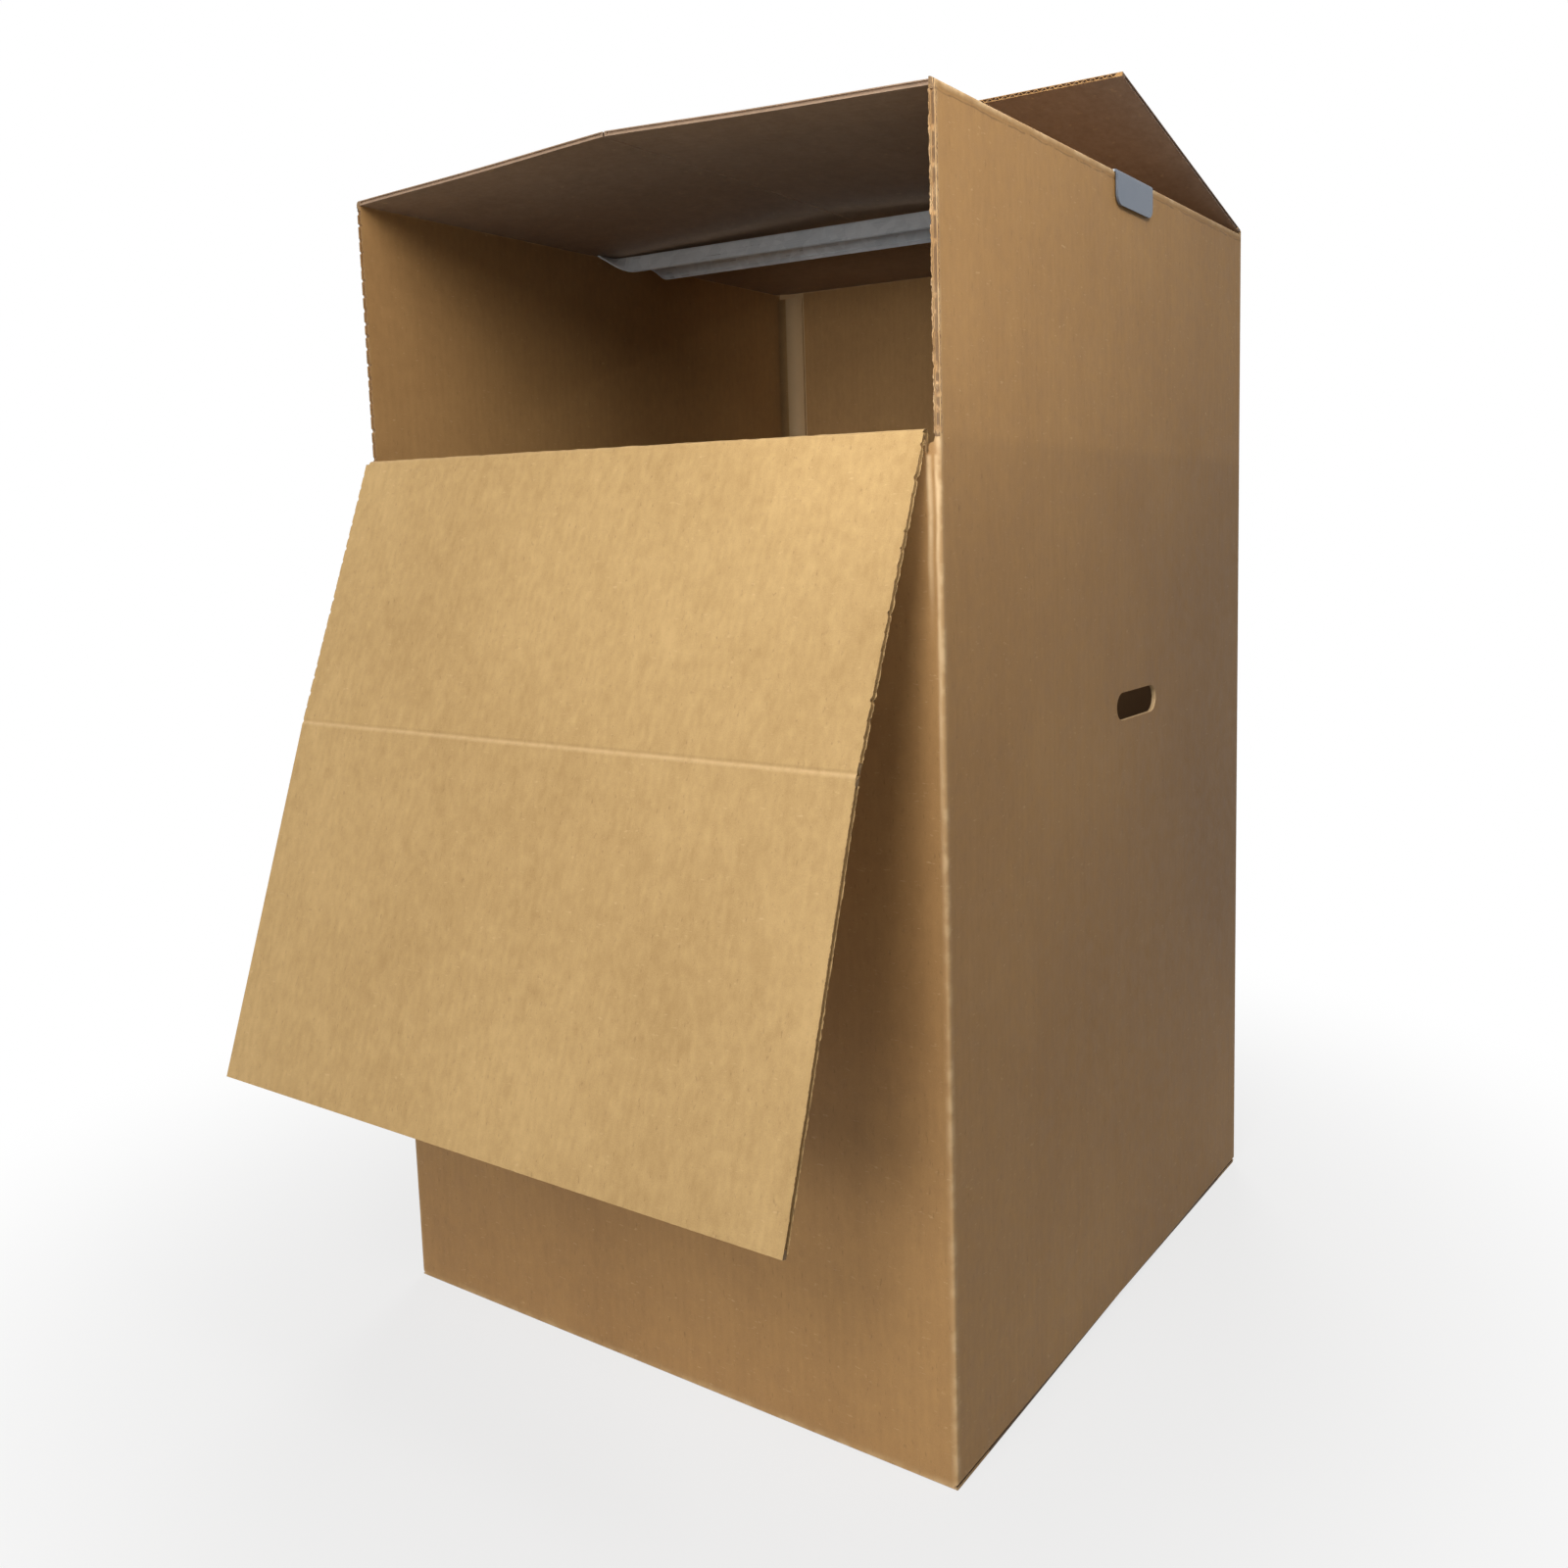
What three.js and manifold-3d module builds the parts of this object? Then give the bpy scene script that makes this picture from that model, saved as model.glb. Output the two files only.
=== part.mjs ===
// Wardrobe moving box: one folded sheet of corrugated board, and one galvanised steel bar that hangs
// clothes inside it. The upper front is cut free down both corners and drops forward as a hatch. The
// front top flap hangs from it, the rear top flap leans over the closed side flaps, and the bar's flat
// ends pass through slots at the side creases and hook down outside the walls.
//
// Millimetres, +Z up, +X to the right of the front, front towards -Y. The origin is on the floor, under
// the middle of the footprint, which counts the hatch as it hangs open.

import * as THREE from 'three';
import { mergeVertices } from 'three/addons/utils/BufferGeometryUtils.js';
import Module from 'manifold-3d';

const wasm = await Module();
wasm.setup();

// Board: single wall, C flute
const board = 4.0; // thickness
const linerThickness = 0.6; // facing sheets
const mediumThickness = 0.5; // wavy sheet between them
const flutePitch = 8.0;
const fluteCellDepth = 5.0; // how far the open flute ends are modelled into the board
const openEdgeDepth = 1.8; // hollow between the liners where a cut runs along the flutes
const foldRadius = 3.2; // outside of every fold
const scoreDepth = 0.7; // groove that the creasing wheel leaves
const scoreWidth = 5.0;
const scoreBelowFold = 7.0; // groove's middle below the side creases

// Box
const insideWidth = 609.6; // 24 inches between the side walls
const insideDepth = 609.6; // 24 inches
const insideHeight = 1016.0; // 40 inches between the closed flaps
const plyGap = 0.5; // between flaps that lie on each other
const outerFlapSeam = 1.5; // between the free edges of the front and rear flaps
const sideFlapSeam = 2.4; // between the free edges of the side flaps
const outerFlapInset = 1.5; // side edges of the outer flaps, behind the side walls' faces
const flapTaper = 3.0; // how much narrower an outer flap is at each side of its free edge
const rearNotchWidth = 8.0; // slotter notches in the side flaps' rear corners
const rearNotchDepth = 5.0;
const glueLapWidth = 38.0; // joins the left wall to the back wall, inside
const glueLapTopGap = 6.0; // from the closed side flaps down to the lap

// Hatch: the upper part of the front wall
const hatchHinge = 791.5; // crease height
const hatchInsetLeft = 1.0; // at the crease that it hangs from
const hatchInsetRight = 10.5;
const frontFlapInsetLeft = 4.5;
const frontFlapInsetRight = 15.5;
const hatchHang = 20.2; // degrees out from hanging straight down
const frontFlapBend = 2.5; // degrees that its flap bends back towards the wall
const rearFlapLift = 15.6; // degrees above level
const hingeOffset = 0.1; // hinge lines stand this far outside the walls' faces
const creaseGap = 0.1; // each board edge stops this far short of its crease
const slotBottom = 777.5; // corner cuts run down to here, past the crease
const cornerNubWidth = 9.5; // stub of the front wall beside the right slot
const cornerNubTop = 786.5;
const perforationPitch = 12.0;
const tieWidth = 5.0;
const tornDepth = 1.6;

// Side walls: hand holes and slots for the bar
const barBehindMiddle = 22.0; // bar and slots, behind the middle of the side walls
const handholeBehindMiddle = 31.0;
const handholeLength = 89.0;
const handholeHeight = 25.4;
const handholeZ = 563.5;
const slotReach = 14.0; // from the side wall's face into the side flap
const slotClearance = 1.5;

// Bar: rolled steel channel, open below, with flat hooked ends
const barSheet = 1.0;
const barWeb = 34.0; // flat top of the channel
const barLeg = 21.0; // developed width of each flared leg
const barLegAngle = 60.0; // degrees down from level
const barBendWidth = 5.0; // developed width of each bend
const barHemWidth = 3.6; // folded edge of each leg
const barHemThickness = 2.0;
const barChannelEnd = 52.0; // from the side wall's face in to where the channel starts to flatten
const barBelowFlap = 0.5; // from the side flaps' underside down to the web
const barHookRadius = 2.5; // to the middle of the sheet
const barStandOff = 2.4; // between the wall's face and the hook
const barHookDrop = 29.0; // from the top of the hook to its tip
const barHookCorner = 9.0;
const barSeatGap = 0.3; // over the slot's seat
const barTopGap = 0.3; // from the bar's highest point up to the top of the side crease

// Heights and faces worked out from the sizes above
const boxWidth = insideWidth + 2 * board;
const boxDepth = insideDepth + 2 * board;
const boxHeight = insideHeight + 4 * board + 2 * plyGap;
const halfWidth = boxWidth / 2;
const halfDepth = boxDepth / 2;
const outerCrease = boxHeight + hingeOffset;
const sideCrease = boxHeight - board - plyGap;
const sideFlapUnderside = sideCrease - board;
const hatchLength = outerCrease - hatchHinge;
const outerFlapLength = halfDepth + hingeOffset - outerFlapSeam / 2;
const sideFlapEdge = halfDepth - board - plyGap;
const innerFlapBottom = board + plyGap;
const slotSeat = sideCrease - barTopGap - barHemThickness - barSeatGap;
const openMargin = 2; // how far a cutter runs past the face that it opens

const kraft = new THREE.MeshStandardMaterial({ color: 0xb08d5f, roughness: 0.82, metalness: 0 });
const kraftInside = new THREE.MeshStandardMaterial({ color: 0xb8955f, roughness: 0.85, metalness: 0 });
const galvanised = new THREE.MeshStandardMaterial({ color: 0x8d979c, roughness: 0.42, metalness: 0.85 });

const radians = THREE.MathUtils.degToRad;

// Solids

function toSolid(geometry) {
  const bare = geometry.index ? geometry.toNonIndexed() : geometry.clone();
  bare.deleteAttribute('normal');
  bare.deleteAttribute('uv');
  const merged = mergeVertices(bare, 1e-5);
  const mesh = new wasm.Mesh({
    numProp: 3,
    vertProperties: new Float32Array(merged.attributes.position.array),
    triVerts: new Uint32Array(merged.index.array),
  });
  return new wasm.Manifold(mesh);
}

function toGeometry(solid) {
  const mesh = solid.getMesh();
  const geometry = new THREE.BufferGeometry();
  geometry.setAttribute('position', new THREE.BufferAttribute(new Float32Array(mesh.vertProperties), 3));
  geometry.setIndex(new THREE.BufferAttribute(new Uint32Array(mesh.triVerts), 1));
  geometry.computeVertexNormals();
  return geometry;
}

function cuboid(x0, x1, y0, y1, z0, z1) {
  const geometry = new THREE.BoxGeometry(x1 - x0, y1 - y0, z1 - z0);
  geometry.translate((x0 + x1) / 2, (y0 + y1) / 2, (z0 + z1) / 2);
  return toSolid(geometry);
}

// The columns of the matrix say where an outline's two directions and its extrusion point.
function extrudeAlong(outline, from, to, across, up, along) {
  const shape = outline instanceof THREE.Shape ? outline : new THREE.Shape(outline);
  const geometry = new THREE.ExtrudeGeometry(shape, {
    depth: to - from,
    bevelEnabled: false,
    curveSegments: 8,
  });
  geometry.translate(0, 0, from);
  geometry.applyMatrix4(new THREE.Matrix4().makeBasis(across, up, along));
  return toSolid(geometry);
}

const unitX = new THREE.Vector3(1, 0, 0);
const unitY = new THREE.Vector3(0, 1, 0);
const unitZ = new THREE.Vector3(0, 0, 1);
const minusY = new THREE.Vector3(0, -1, 0);

// An outline in (y, z), run along x.
function prismAlongX(outline, from, to) {
  return extrudeAlong(outline, from, to, unitY, unitZ, unitX);
}

// An outline in (x, z), run along y.
function prismAlongY(outline, from, to) {
  return extrudeAlong(outline, -to, -from, unitX, unitZ, minusY);
}

// An outline in (x, y), run along z.
function prismAlongZ(outline, from, to) {
  return extrudeAlong(outline, from, to, unitX, unitY, unitZ);
}

function point(a, b) {
  return new THREE.Vector2(a, b);
}

// The waste outside a rounded edge, as an outline: towardA and towardB point from the edge into the board.
function edgeWaste(a, b, towardA, towardB, radius) {
  const outline = [point(a - towardA * openMargin, b - towardB * openMargin)];
  outline.push(point(a + towardA * radius, b - towardB * openMargin));
  const steps = 5;
  for (let i = 0; i <= steps; i += 1) {
    const turn = (Math.PI / 2) * (i / steps);
    const inA = radius * (1 - Math.sin(turn));
    const inB = radius * (1 - Math.cos(turn));
    outline.push(point(a + towardA * inA, b + towardB * inB));
  }
  outline.push(point(a - towardA * openMargin, b + towardB * radius));
  return towardA * towardB > 0 ? outline : outline.reverse();
}

// A repeatable value from 0 to 1.
function scatter(seed) {
  const value = Math.sin(seed * 12.9898 + 4.1414) * 43758.5453;
  return value - Math.floor(value);
}

// A perforated cut that was torn open, as pairs of place along the cut and depth of nick: the knife cut
// is straight, and a nick is left where each tie pulled out.
function tornCut(start, end, seed) {
  const ties = Math.max(1, Math.floor((end - start) / perforationPitch));
  const pitch = (end - start) / ties;
  const pairs = [];
  for (let i = 0; i < ties; i += 1) {
    const middle = start + pitch * (i + 0.35 + 0.3 * scatter(seed + i));
    const depth = tornDepth * (0.3 + 0.7 * scatter(seed + i + 100));
    const half = (tieWidth / 2) * (0.6 + 0.4 * scatter(seed + i + 200));
    pairs.push([middle - half, 0]);
    pairs.push([middle - 0.4 * half, depth]);
    pairs.push([middle + 0.5 * half, 0.75 * depth]);
    pairs.push([middle + half, 0]);
  }
  return pairs;
}

// Loose boards. They are drawn standing on their crease: x across, y from the crease line to the inner
// face, z away from the crease.

// The open flutes at a free edge: cells that stand on one liner and, between them, on the other.
function fluteEnds(x0, x1, edge) {
  const nearLiner = hingeOffset + linerThickness;
  const farLiner = hingeOffset + board - linerThickness;
  const wideHalf = flutePitch * 0.375;
  const narrowHalf = flutePitch * 0.075;
  const count = Math.floor((x1 - x0 - flutePitch) / flutePitch);
  const first = (x0 + x1) / 2 - (flutePitch * (count - 1)) / 2;
  const cells = [];
  for (let i = 0; i < count; i += 1) {
    const x = first + flutePitch * i;
    cells.push(fluteCell(x, nearLiner, farLiner - mediumThickness, wideHalf, narrowHalf, edge));
    if (i < count - 1) {
      const between = x + flutePitch / 2;
      cells.push(fluteCell(between, farLiner, nearLiner + mediumThickness, wideHalf, narrowHalf, edge));
    }
  }
  return wasm.Manifold.union(cells);
}

function fluteCell(x, base, top, wideHalf, narrowHalf, edge) {
  const outline = [
    point(x - wideHalf, base),
    point(x + wideHalf, base),
    point(x + narrowHalf, top),
    point(x - narrowHalf, top),
  ];
  const counterClockwise = top > base ? outline : outline.reverse();
  return prismAlongZ(counterClockwise, edge - fluteCellDepth, edge + openMargin);
}

// The hollow that shows between the liners along an edge parallel to the flutes, from x0 at its lower
// end to x1 at its upper one.
function openEdge(x0, x1, inward, from, to) {
  const liner = linerThickness * 1.4;
  const outside = -inward * openMargin;
  const inside = inward * openEdgeDepth;
  const outline = [
    point(x0 + outside, from),
    point(x0 + inside, from),
    point(x1 + inside, to),
    point(x1 + outside, to),
  ];
  const counterClockwise = inward > 0 ? outline : outline.reverse();
  return prismAlongY(counterClockwise, hingeOffset + liner, hingeOffset + board - liner);
}

// Cuts the end at a crease to 45 degrees, so that the next board can fold inward about the crease.
function mitre(solid, crease, side) {
  const outer = crease + side * (hingeOffset + creaseGap);
  const inner = outer + side * board;
  const beyond = crease - side * openMargin;
  const y0 = hingeOffset;
  const outline = [
    point(y0 - openMargin, beyond),
    point(y0 + board + openMargin, beyond),
    point(y0 + board + openMargin, inner + side * openMargin),
    point(y0 - openMargin, outer - side * openMargin),
  ];
  const counterClockwise = side > 0 ? outline : outline.reverse();
  return solid.subtract(prismAlongX(counterClockwise, -boxWidth, boxWidth));
}

function outerFlap(insetLeft, insetRight, taper) {
  const left = -halfWidth + insetLeft;
  const right = halfWidth - insetRight;
  const edge = outerFlapLength;
  const outline = [
    point(left, 0),
    point(right, 0),
    point(right - taper, edge),
    point(left + taper, edge),
  ];
  const blank = prismAlongY(outline, hingeOffset, hingeOffset + board);
  const hollowTo = edge - fluteCellDepth - 1;
  const hollowFrom = 2 * board;
  const leftWaste = openEdge(left, left + taper, 1, hollowFrom, hollowTo);
  const rightWaste = openEdge(right, right - taper, -1, hollowFrom, hollowTo);
  const ends = fluteEnds(left + taper, right - taper, edge);
  const cut = blank.subtract(wasm.Manifold.union([leftWaste, rightWaste, ends]));
  return mitre(cut, 0, 1);
}

function hatch() {
  const left = -halfWidth + hatchInsetLeft;
  const right = halfWidth - hatchInsetRight;
  const topLeft = -halfWidth + frontFlapInsetLeft;
  const topRight = halfWidth - frontFlapInsetRight;
  const top = hatchLength;
  const leftAt = (z) => THREE.MathUtils.mapLinear(z, 0, top, left, topLeft);
  const rightAt = (z) => THREE.MathUtils.mapLinear(z, 0, top, right, topRight);
  const outline = [point(left, creaseGap), point(right, creaseGap)];
  const from = board;
  const to = top - 2 * board;
  tornCut(from, to, 11).forEach(([z, nick]) => outline.push(point(rightAt(z) - nick, z)));
  outline.push(point(topRight, top), point(topLeft, top));
  tornCut(from, to, 57).reverse().forEach(([z, nick]) => outline.push(point(leftAt(z) + nick, z)));
  const blank = prismAlongY(outline, hingeOffset, hingeOffset + board);
  const leftWaste = openEdge(leftAt(from), leftAt(to), 1, from, to);
  const rightWaste = openEdge(rightAt(from), rightAt(to), -1, from, to);
  const cut = blank.subtract(leftWaste.add(rightWaste));
  return mitre(cut, top, -1);
}

// Carton: the walls, the closed bottom, the closed side flaps and the glue lap

function roundedRectangle(width, depth, radius) {
  const x = width / 2;
  const y = depth / 2;
  const shape = new THREE.Shape();
  shape.moveTo(-x + radius, -y);
  shape.lineTo(x - radius, -y);
  shape.absarc(x - radius, -y + radius, radius, -Math.PI / 2, 0, false);
  shape.lineTo(x, y - radius);
  shape.absarc(x - radius, y - radius, radius, 0, Math.PI / 2, false);
  shape.lineTo(-x + radius, y);
  shape.absarc(-x + radius, y - radius, radius, Math.PI / 2, Math.PI, false);
  shape.lineTo(-x, -y + radius);
  shape.absarc(-x + radius, -y + radius, radius, Math.PI, 1.5 * Math.PI, false);
  return shape;
}

function walls() {
  const outside = roundedRectangle(boxWidth, boxDepth, foldRadius);
  const tube = prismAlongZ(outside, innerFlapBottom, boxHeight);
  const inside = cuboid(
    -halfWidth + board, halfWidth - board,
    -halfDepth + board, halfDepth - board,
    0, boxHeight + openMargin,
  );
  return tube.subtract(inside);
}

// The waste above the front, side and rear walls' top edges.
function wallTops() {
  const top = boxHeight + openMargin;
  const sideWaste = cuboid(-boxWidth, boxWidth, -boxDepth, sideFlapEdge + plyGap, sideCrease, top);
  const outer = outerCrease - hingeOffset - creaseGap;
  const rearMitre = [
    point(halfDepth + openMargin, outer + openMargin),
    point(halfDepth + openMargin, top),
    point(halfDepth - board - 0.01, top),
    point(halfDepth - board - 0.01, outer - board - 0.01),
  ];
  return sideWaste.add(prismAlongX(rearMitre, -boxWidth, boxWidth));
}

// The opening that the hatch leaves in the front wall, with the corner slots below the crease and the
// torn stub beside the right one.
function frontOpening() {
  const right = halfWidth - board;
  const nub = halfWidth - cornerNubWidth;
  const slotLeft = halfWidth - hatchInsetRight - 1.5;
  const creaseTop = hatchHinge - creaseGap;
  const leftSlot = -halfWidth + board + plyGap;
  const outline = [
    point(-halfWidth - openMargin, slotBottom),
    point(leftSlot, slotBottom),
    point(leftSlot, creaseTop),
    point(slotLeft - 0.5, creaseTop),
    point(slotLeft, slotBottom + 3),
    point(slotLeft + 1.2, slotBottom),
    point(nub - 0.6, slotBottom + 0.8),
    point(nub + 0.4, slotBottom + 3),
    point(nub - 0.2, slotBottom + 5.5),
    point(nub + 1.6, cornerNubTop - 0.8),
    point(nub + 4.6, cornerNubTop),
    point(right, cornerNubTop + 3),
    point(right, boxHeight + openMargin),
    point(-halfWidth - openMargin, boxHeight + openMargin),
  ];
  return prismAlongY(outline, -halfDepth - openMargin, -halfDepth + board + plyGap);
}

// The torn front edge of the right wall. The left wall's front edge lies behind the hatch's own.
function tornWallEdge(face, from, x0, x1, seed) {
  const top = boxHeight + openMargin;
  const outline = [point(face - 4 * openMargin, from), point(face, from)];
  const torn = tornCut(from + board, sideFlapUnderside, seed);
  torn.forEach(([z, nick]) => outline.push(point(face + nick, z)));
  outline.push(point(face, top), point(face - 4 * openMargin, top));
  return prismAlongX(outline, x0, x1);
}

function openWallEdge(x, inward, face, from) {
  const liner = linerThickness * 1.4;
  const x0 = x + inward * liner;
  const x1 = x + inward * (board - liner);
  const low = Math.min(x0, x1);
  const high = Math.max(x0, x1);
  return cuboid(low, high, face - openMargin, face + openEdgeDepth, from, sideFlapUnderside - board);
}

function bottomFlaps() {
  const innerTop = innerFlapBottom + board;
  const seam = sideFlapSeam / 2;
  const flaps = [];
  [-1, 1].forEach((side) => {
    const wall = side * (halfWidth - board / 2);
    const x0 = Math.min(side * seam, wall);
    const x1 = Math.max(side * seam, wall);
    flaps.push(cuboid(x0, x1, -sideFlapEdge, sideFlapEdge, innerFlapBottom, innerTop));
    const face = side * halfDepth;
    const edge = side * (outerFlapSeam / 2);
    const outline = [
      point(-halfWidth + outerFlapInset, face),
      point(halfWidth - outerFlapInset, face),
      point(halfWidth - outerFlapInset - flapTaper, edge),
      point(-halfWidth + outerFlapInset + flapTaper, edge),
    ];
    flaps.push(prismAlongZ(side < 0 ? outline : outline.reverse(), 0, board));
    const root = side * (halfDepth - board);
    const width = halfWidth - foldRadius;
    flaps.push(cuboid(-width, width, Math.min(face, root), Math.max(face, root), 0, innerTop));
  });
  return wasm.Manifold.union(flaps);
}

function topSideFlaps() {
  const seam = sideFlapSeam / 2;
  const flaps = [-1, 1].map((side) => {
    const wall = side * (halfWidth - board / 2);
    const x0 = Math.min(side * seam, wall);
    const x1 = Math.max(side * seam, wall);
    const flap = cuboid(x0, x1, -sideFlapEdge, sideFlapEdge, sideFlapUnderside, sideCrease);
    const corner = side * (halfWidth - board);
    const notch = cuboid(
      Math.min(corner, corner - side * rearNotchWidth),
      Math.max(corner, corner - side * rearNotchWidth),
      sideFlapEdge - rearNotchDepth, sideFlapEdge + openMargin,
      sideFlapUnderside - openMargin, sideCrease + openMargin,
    );
    return flap.subtract(notch);
  });
  return wasm.Manifold.union(flaps);
}

function glueLap() {
  const inside = -halfWidth + board;
  const edge = inside + glueLapWidth;
  const lapBack = halfDepth - board;
  const outline = [
    point(inside - 1, lapBack + 1),
    point(inside - 1, lapBack - board),
    point(edge - 1, lapBack - board),
    point(edge, lapBack - board + 1),
    point(edge, lapBack + 1),
  ];
  return prismAlongZ(outline, innerFlapBottom, sideFlapUnderside - glueLapTopGap);
}

function handhole(side) {
  const straight = handholeLength / 2 - handholeHeight / 2;
  const radius = handholeHeight / 2;
  const shape = new THREE.Shape();
  const front = handholeBehindMiddle - straight;
  const back = handholeBehindMiddle + straight;
  shape.moveTo(front, handholeZ - radius);
  shape.lineTo(back, handholeZ - radius);
  shape.absarc(back, handholeZ, radius, -Math.PI / 2, Math.PI / 2, false);
  shape.lineTo(front, handholeZ + radius);
  shape.absarc(front, handholeZ, radius, Math.PI / 2, 1.5 * Math.PI, false);
  const outer = side * (halfWidth + openMargin);
  const inner = side * (halfWidth - board - openMargin);
  return prismAlongX(shape, Math.min(outer, inner), Math.max(outer, inner));
}

function barSlot(side) {
  const half = barWeb / 2 + barLeg + slotClearance;
  const outer = side * (halfWidth + openMargin);
  const wallFace = side * (halfWidth - board - 0.01);
  const inner = side * (halfWidth - slotReach);
  const y0 = barBehindMiddle - half;
  const y1 = barBehindMiddle + half;
  const top = boxHeight + openMargin;
  const overWall = cuboid(Math.min(outer, wallFace), Math.max(outer, wallFace), y0, y1, slotSeat, top);
  const low = sideFlapUnderside - openMargin;
  const inFlap = cuboid(Math.min(wallFace, inner), Math.max(wallFace, inner), y0, y1, low, top);
  return overWall.add(inFlap);
}

// Rounds the outside of the folds along the four bottom edges and the two side creases, and cuts the
// score's groove below each side crease.
function foldWaste() {
  const waste = [];
  [-1, 1].forEach((side) => {
    const x = side * halfWidth;
    const bottomSide = edgeWaste(x, innerFlapBottom, -side, 1, foldRadius);
    waste.push(prismAlongY(bottomSide, -halfDepth - openMargin, halfDepth + openMargin));
    const crease = edgeWaste(x, sideCrease, -side, -1, foldRadius);
    waste.push(prismAlongY(crease, -halfDepth - openMargin, sideFlapEdge));
    const bottomFold = edgeWaste(side * halfDepth, 0, -side, 1, foldRadius);
    waste.push(prismAlongX(bottomFold, -halfWidth - openMargin, halfWidth + openMargin));
    const groove = [
      point(x + side * 0.5, sideCrease - scoreBelowFold - scoreWidth / 2),
      point(x + side * 0.5, sideCrease - scoreBelowFold + scoreWidth / 2),
      point(x - side * scoreDepth, sideCrease - scoreBelowFold),
    ];
    const counterClockwise = side > 0 ? groove : groove.reverse();
    waste.push(prismAlongY(counterClockwise, -halfDepth + foldRadius, halfDepth - foldRadius));
  });
  return wasm.Manifold.union(waste);
}

function carton() {
  const leftFace = -halfDepth + board + plyGap;
  const rightTornFrom = cornerNubTop + 3;
  const solids = [bottomFlaps(), topSideFlaps(), glueLap()];
  const cutters = [
    handhole(-1), handhole(1), barSlot(-1), barSlot(1), foldWaste(),
    tornWallEdge(leftFace, slotBottom, -halfWidth - openMargin, -halfWidth + board, 23),
    tornWallEdge(-halfDepth, rightTornFrom, halfWidth - board, halfWidth + openMargin, 71),
    openWallEdge(-halfWidth, 1, leftFace, slotBottom),
    openWallEdge(halfWidth, -1, -halfDepth, rightTornFrom),
  ];
  return walls()
    .subtract(wallTops())
    .subtract(frontOpening())
    .add(wasm.Manifold.union(solids))
    .subtract(wasm.Manifold.union(cutters));
}

// Hanger bar: one rolled section lofted along its run, from hook tip to hook tip

// Half of the section as (across, down) pairs from the middle of the web to the leg's edge, at a given
// leg angle and half width.
function sectionLine(legAngle, halfDeveloped) {
  const full = barWeb / 2 + barLeg;
  const share = halfDeveloped / full;
  const bendStart = barWeb / 2 - barBendWidth / 2;
  const bendEnd = barWeb / 2 + barBendWidth / 2;
  const hemStart = full - barHemWidth;
  const stops = [0, bendStart, barWeb / 2, bendEnd, hemStart - 0.4, hemStart, full];
  const line = [];
  let across = 0;
  let down = 0;
  let last = 0;
  stops.forEach((stop, i) => {
    const middle = (last + stop) / 2;
    const turn = THREE.MathUtils.clamp((middle - bendStart) / barBendWidth, 0, 1) * legAngle;
    across += Math.cos(turn) * (stop - last) * share;
    down += Math.sin(turn) * (stop - last) * share;
    const after = THREE.MathUtils.clamp((stop - bendStart) / barBendWidth, 0, 1) * legAngle;
    const thickness = i > 4 ? barHemThickness : barSheet;
    line.push({ across, down, tilt: after, thickness });
    last = stop;
  });
  return line;
}

// The closed section: along the top from one edge to the other, and back underneath. The hem's extra
// thickness lies on the underside.
function sectionRing(legAngle, halfDeveloped) {
  const half = sectionLine(legAngle, halfDeveloped);
  const right = half.slice(1);
  const left = [...right].reverse().map((p) => ({ ...p, across: -p.across, tilt: -p.tilt }));
  const line = [...left, ...right];
  const upper = line.map((p) => point(
    p.across + (Math.sin(p.tilt) * barSheet) / 2,
    -p.down + (Math.cos(p.tilt) * barSheet) / 2,
  ));
  const lower = line.map((p) => {
    const depth = p.thickness - barSheet / 2;
    return point(p.across - Math.sin(p.tilt) * depth, -p.down - Math.cos(p.tilt) * depth);
  });
  return [...upper, ...lower.reverse()];
}

// The right half of the bar's run, from the middle to the hook's tip: place in (x, z), slope of the
// run, leg angle and developed half width.
function barStations() {
  const full = barWeb / 2 + barLeg;
  const webZ = sideFlapUnderside - barBelowFlap - barSheet / 2;
  const seatZ = sideCrease - barTopGap - barSheet / 2;
  const flattenFrom = halfWidth - barChannelEnd;
  const flattenTo = halfWidth - board - 1;
  const riseFrom = halfWidth - slotReach + 1;
  const stations = [];
  const steps = 10;
  for (let i = 0; i <= steps; i += 1) {
    const share = i / steps;
    const x = THREE.MathUtils.lerp(flattenFrom, flattenTo, share);
    const rise = THREE.MathUtils.smoothstep(x, riseFrom, flattenTo);
    const slope = rise > 0 && rise < 1 ? Math.atan((1.5 * (seatZ - webZ)) / (flattenTo - riseFrom)) : 0;
    const angle = radians(barLegAngle) * 0.5 * (1 + Math.cos(Math.PI * share));
    stations.push({ x, z: THREE.MathUtils.lerp(webZ, seatZ, rise), slope, angle, half: full });
  }
  const hookX = halfWidth + barStandOff + barSheet / 2 - barHookRadius;
  const bendSteps = 5;
  for (let i = 0; i <= bendSteps; i += 1) {
    const turn = (Math.PI / 2) * (i / bendSteps);
    stations.push({
      x: hookX + barHookRadius * Math.sin(turn),
      z: seatZ - barHookRadius * (1 - Math.cos(turn)),
      slope: -turn,
      angle: 0,
      half: full,
    });
  }
  const tip = seatZ + barSheet / 2 - barHookDrop;
  const cornerSteps = 5;
  for (let i = 0; i <= cornerSteps; i += 1) {
    const turn = (Math.PI / 2) * (i / cornerSteps);
    stations.push({
      x: hookX + barHookRadius,
      z: tip + barHookCorner * (1 - Math.sin(turn)),
      slope: -Math.PI / 2,
      angle: 0,
      half: full - barHookCorner * (1 - Math.cos(turn)),
    });
  }
  return stations;
}

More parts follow.
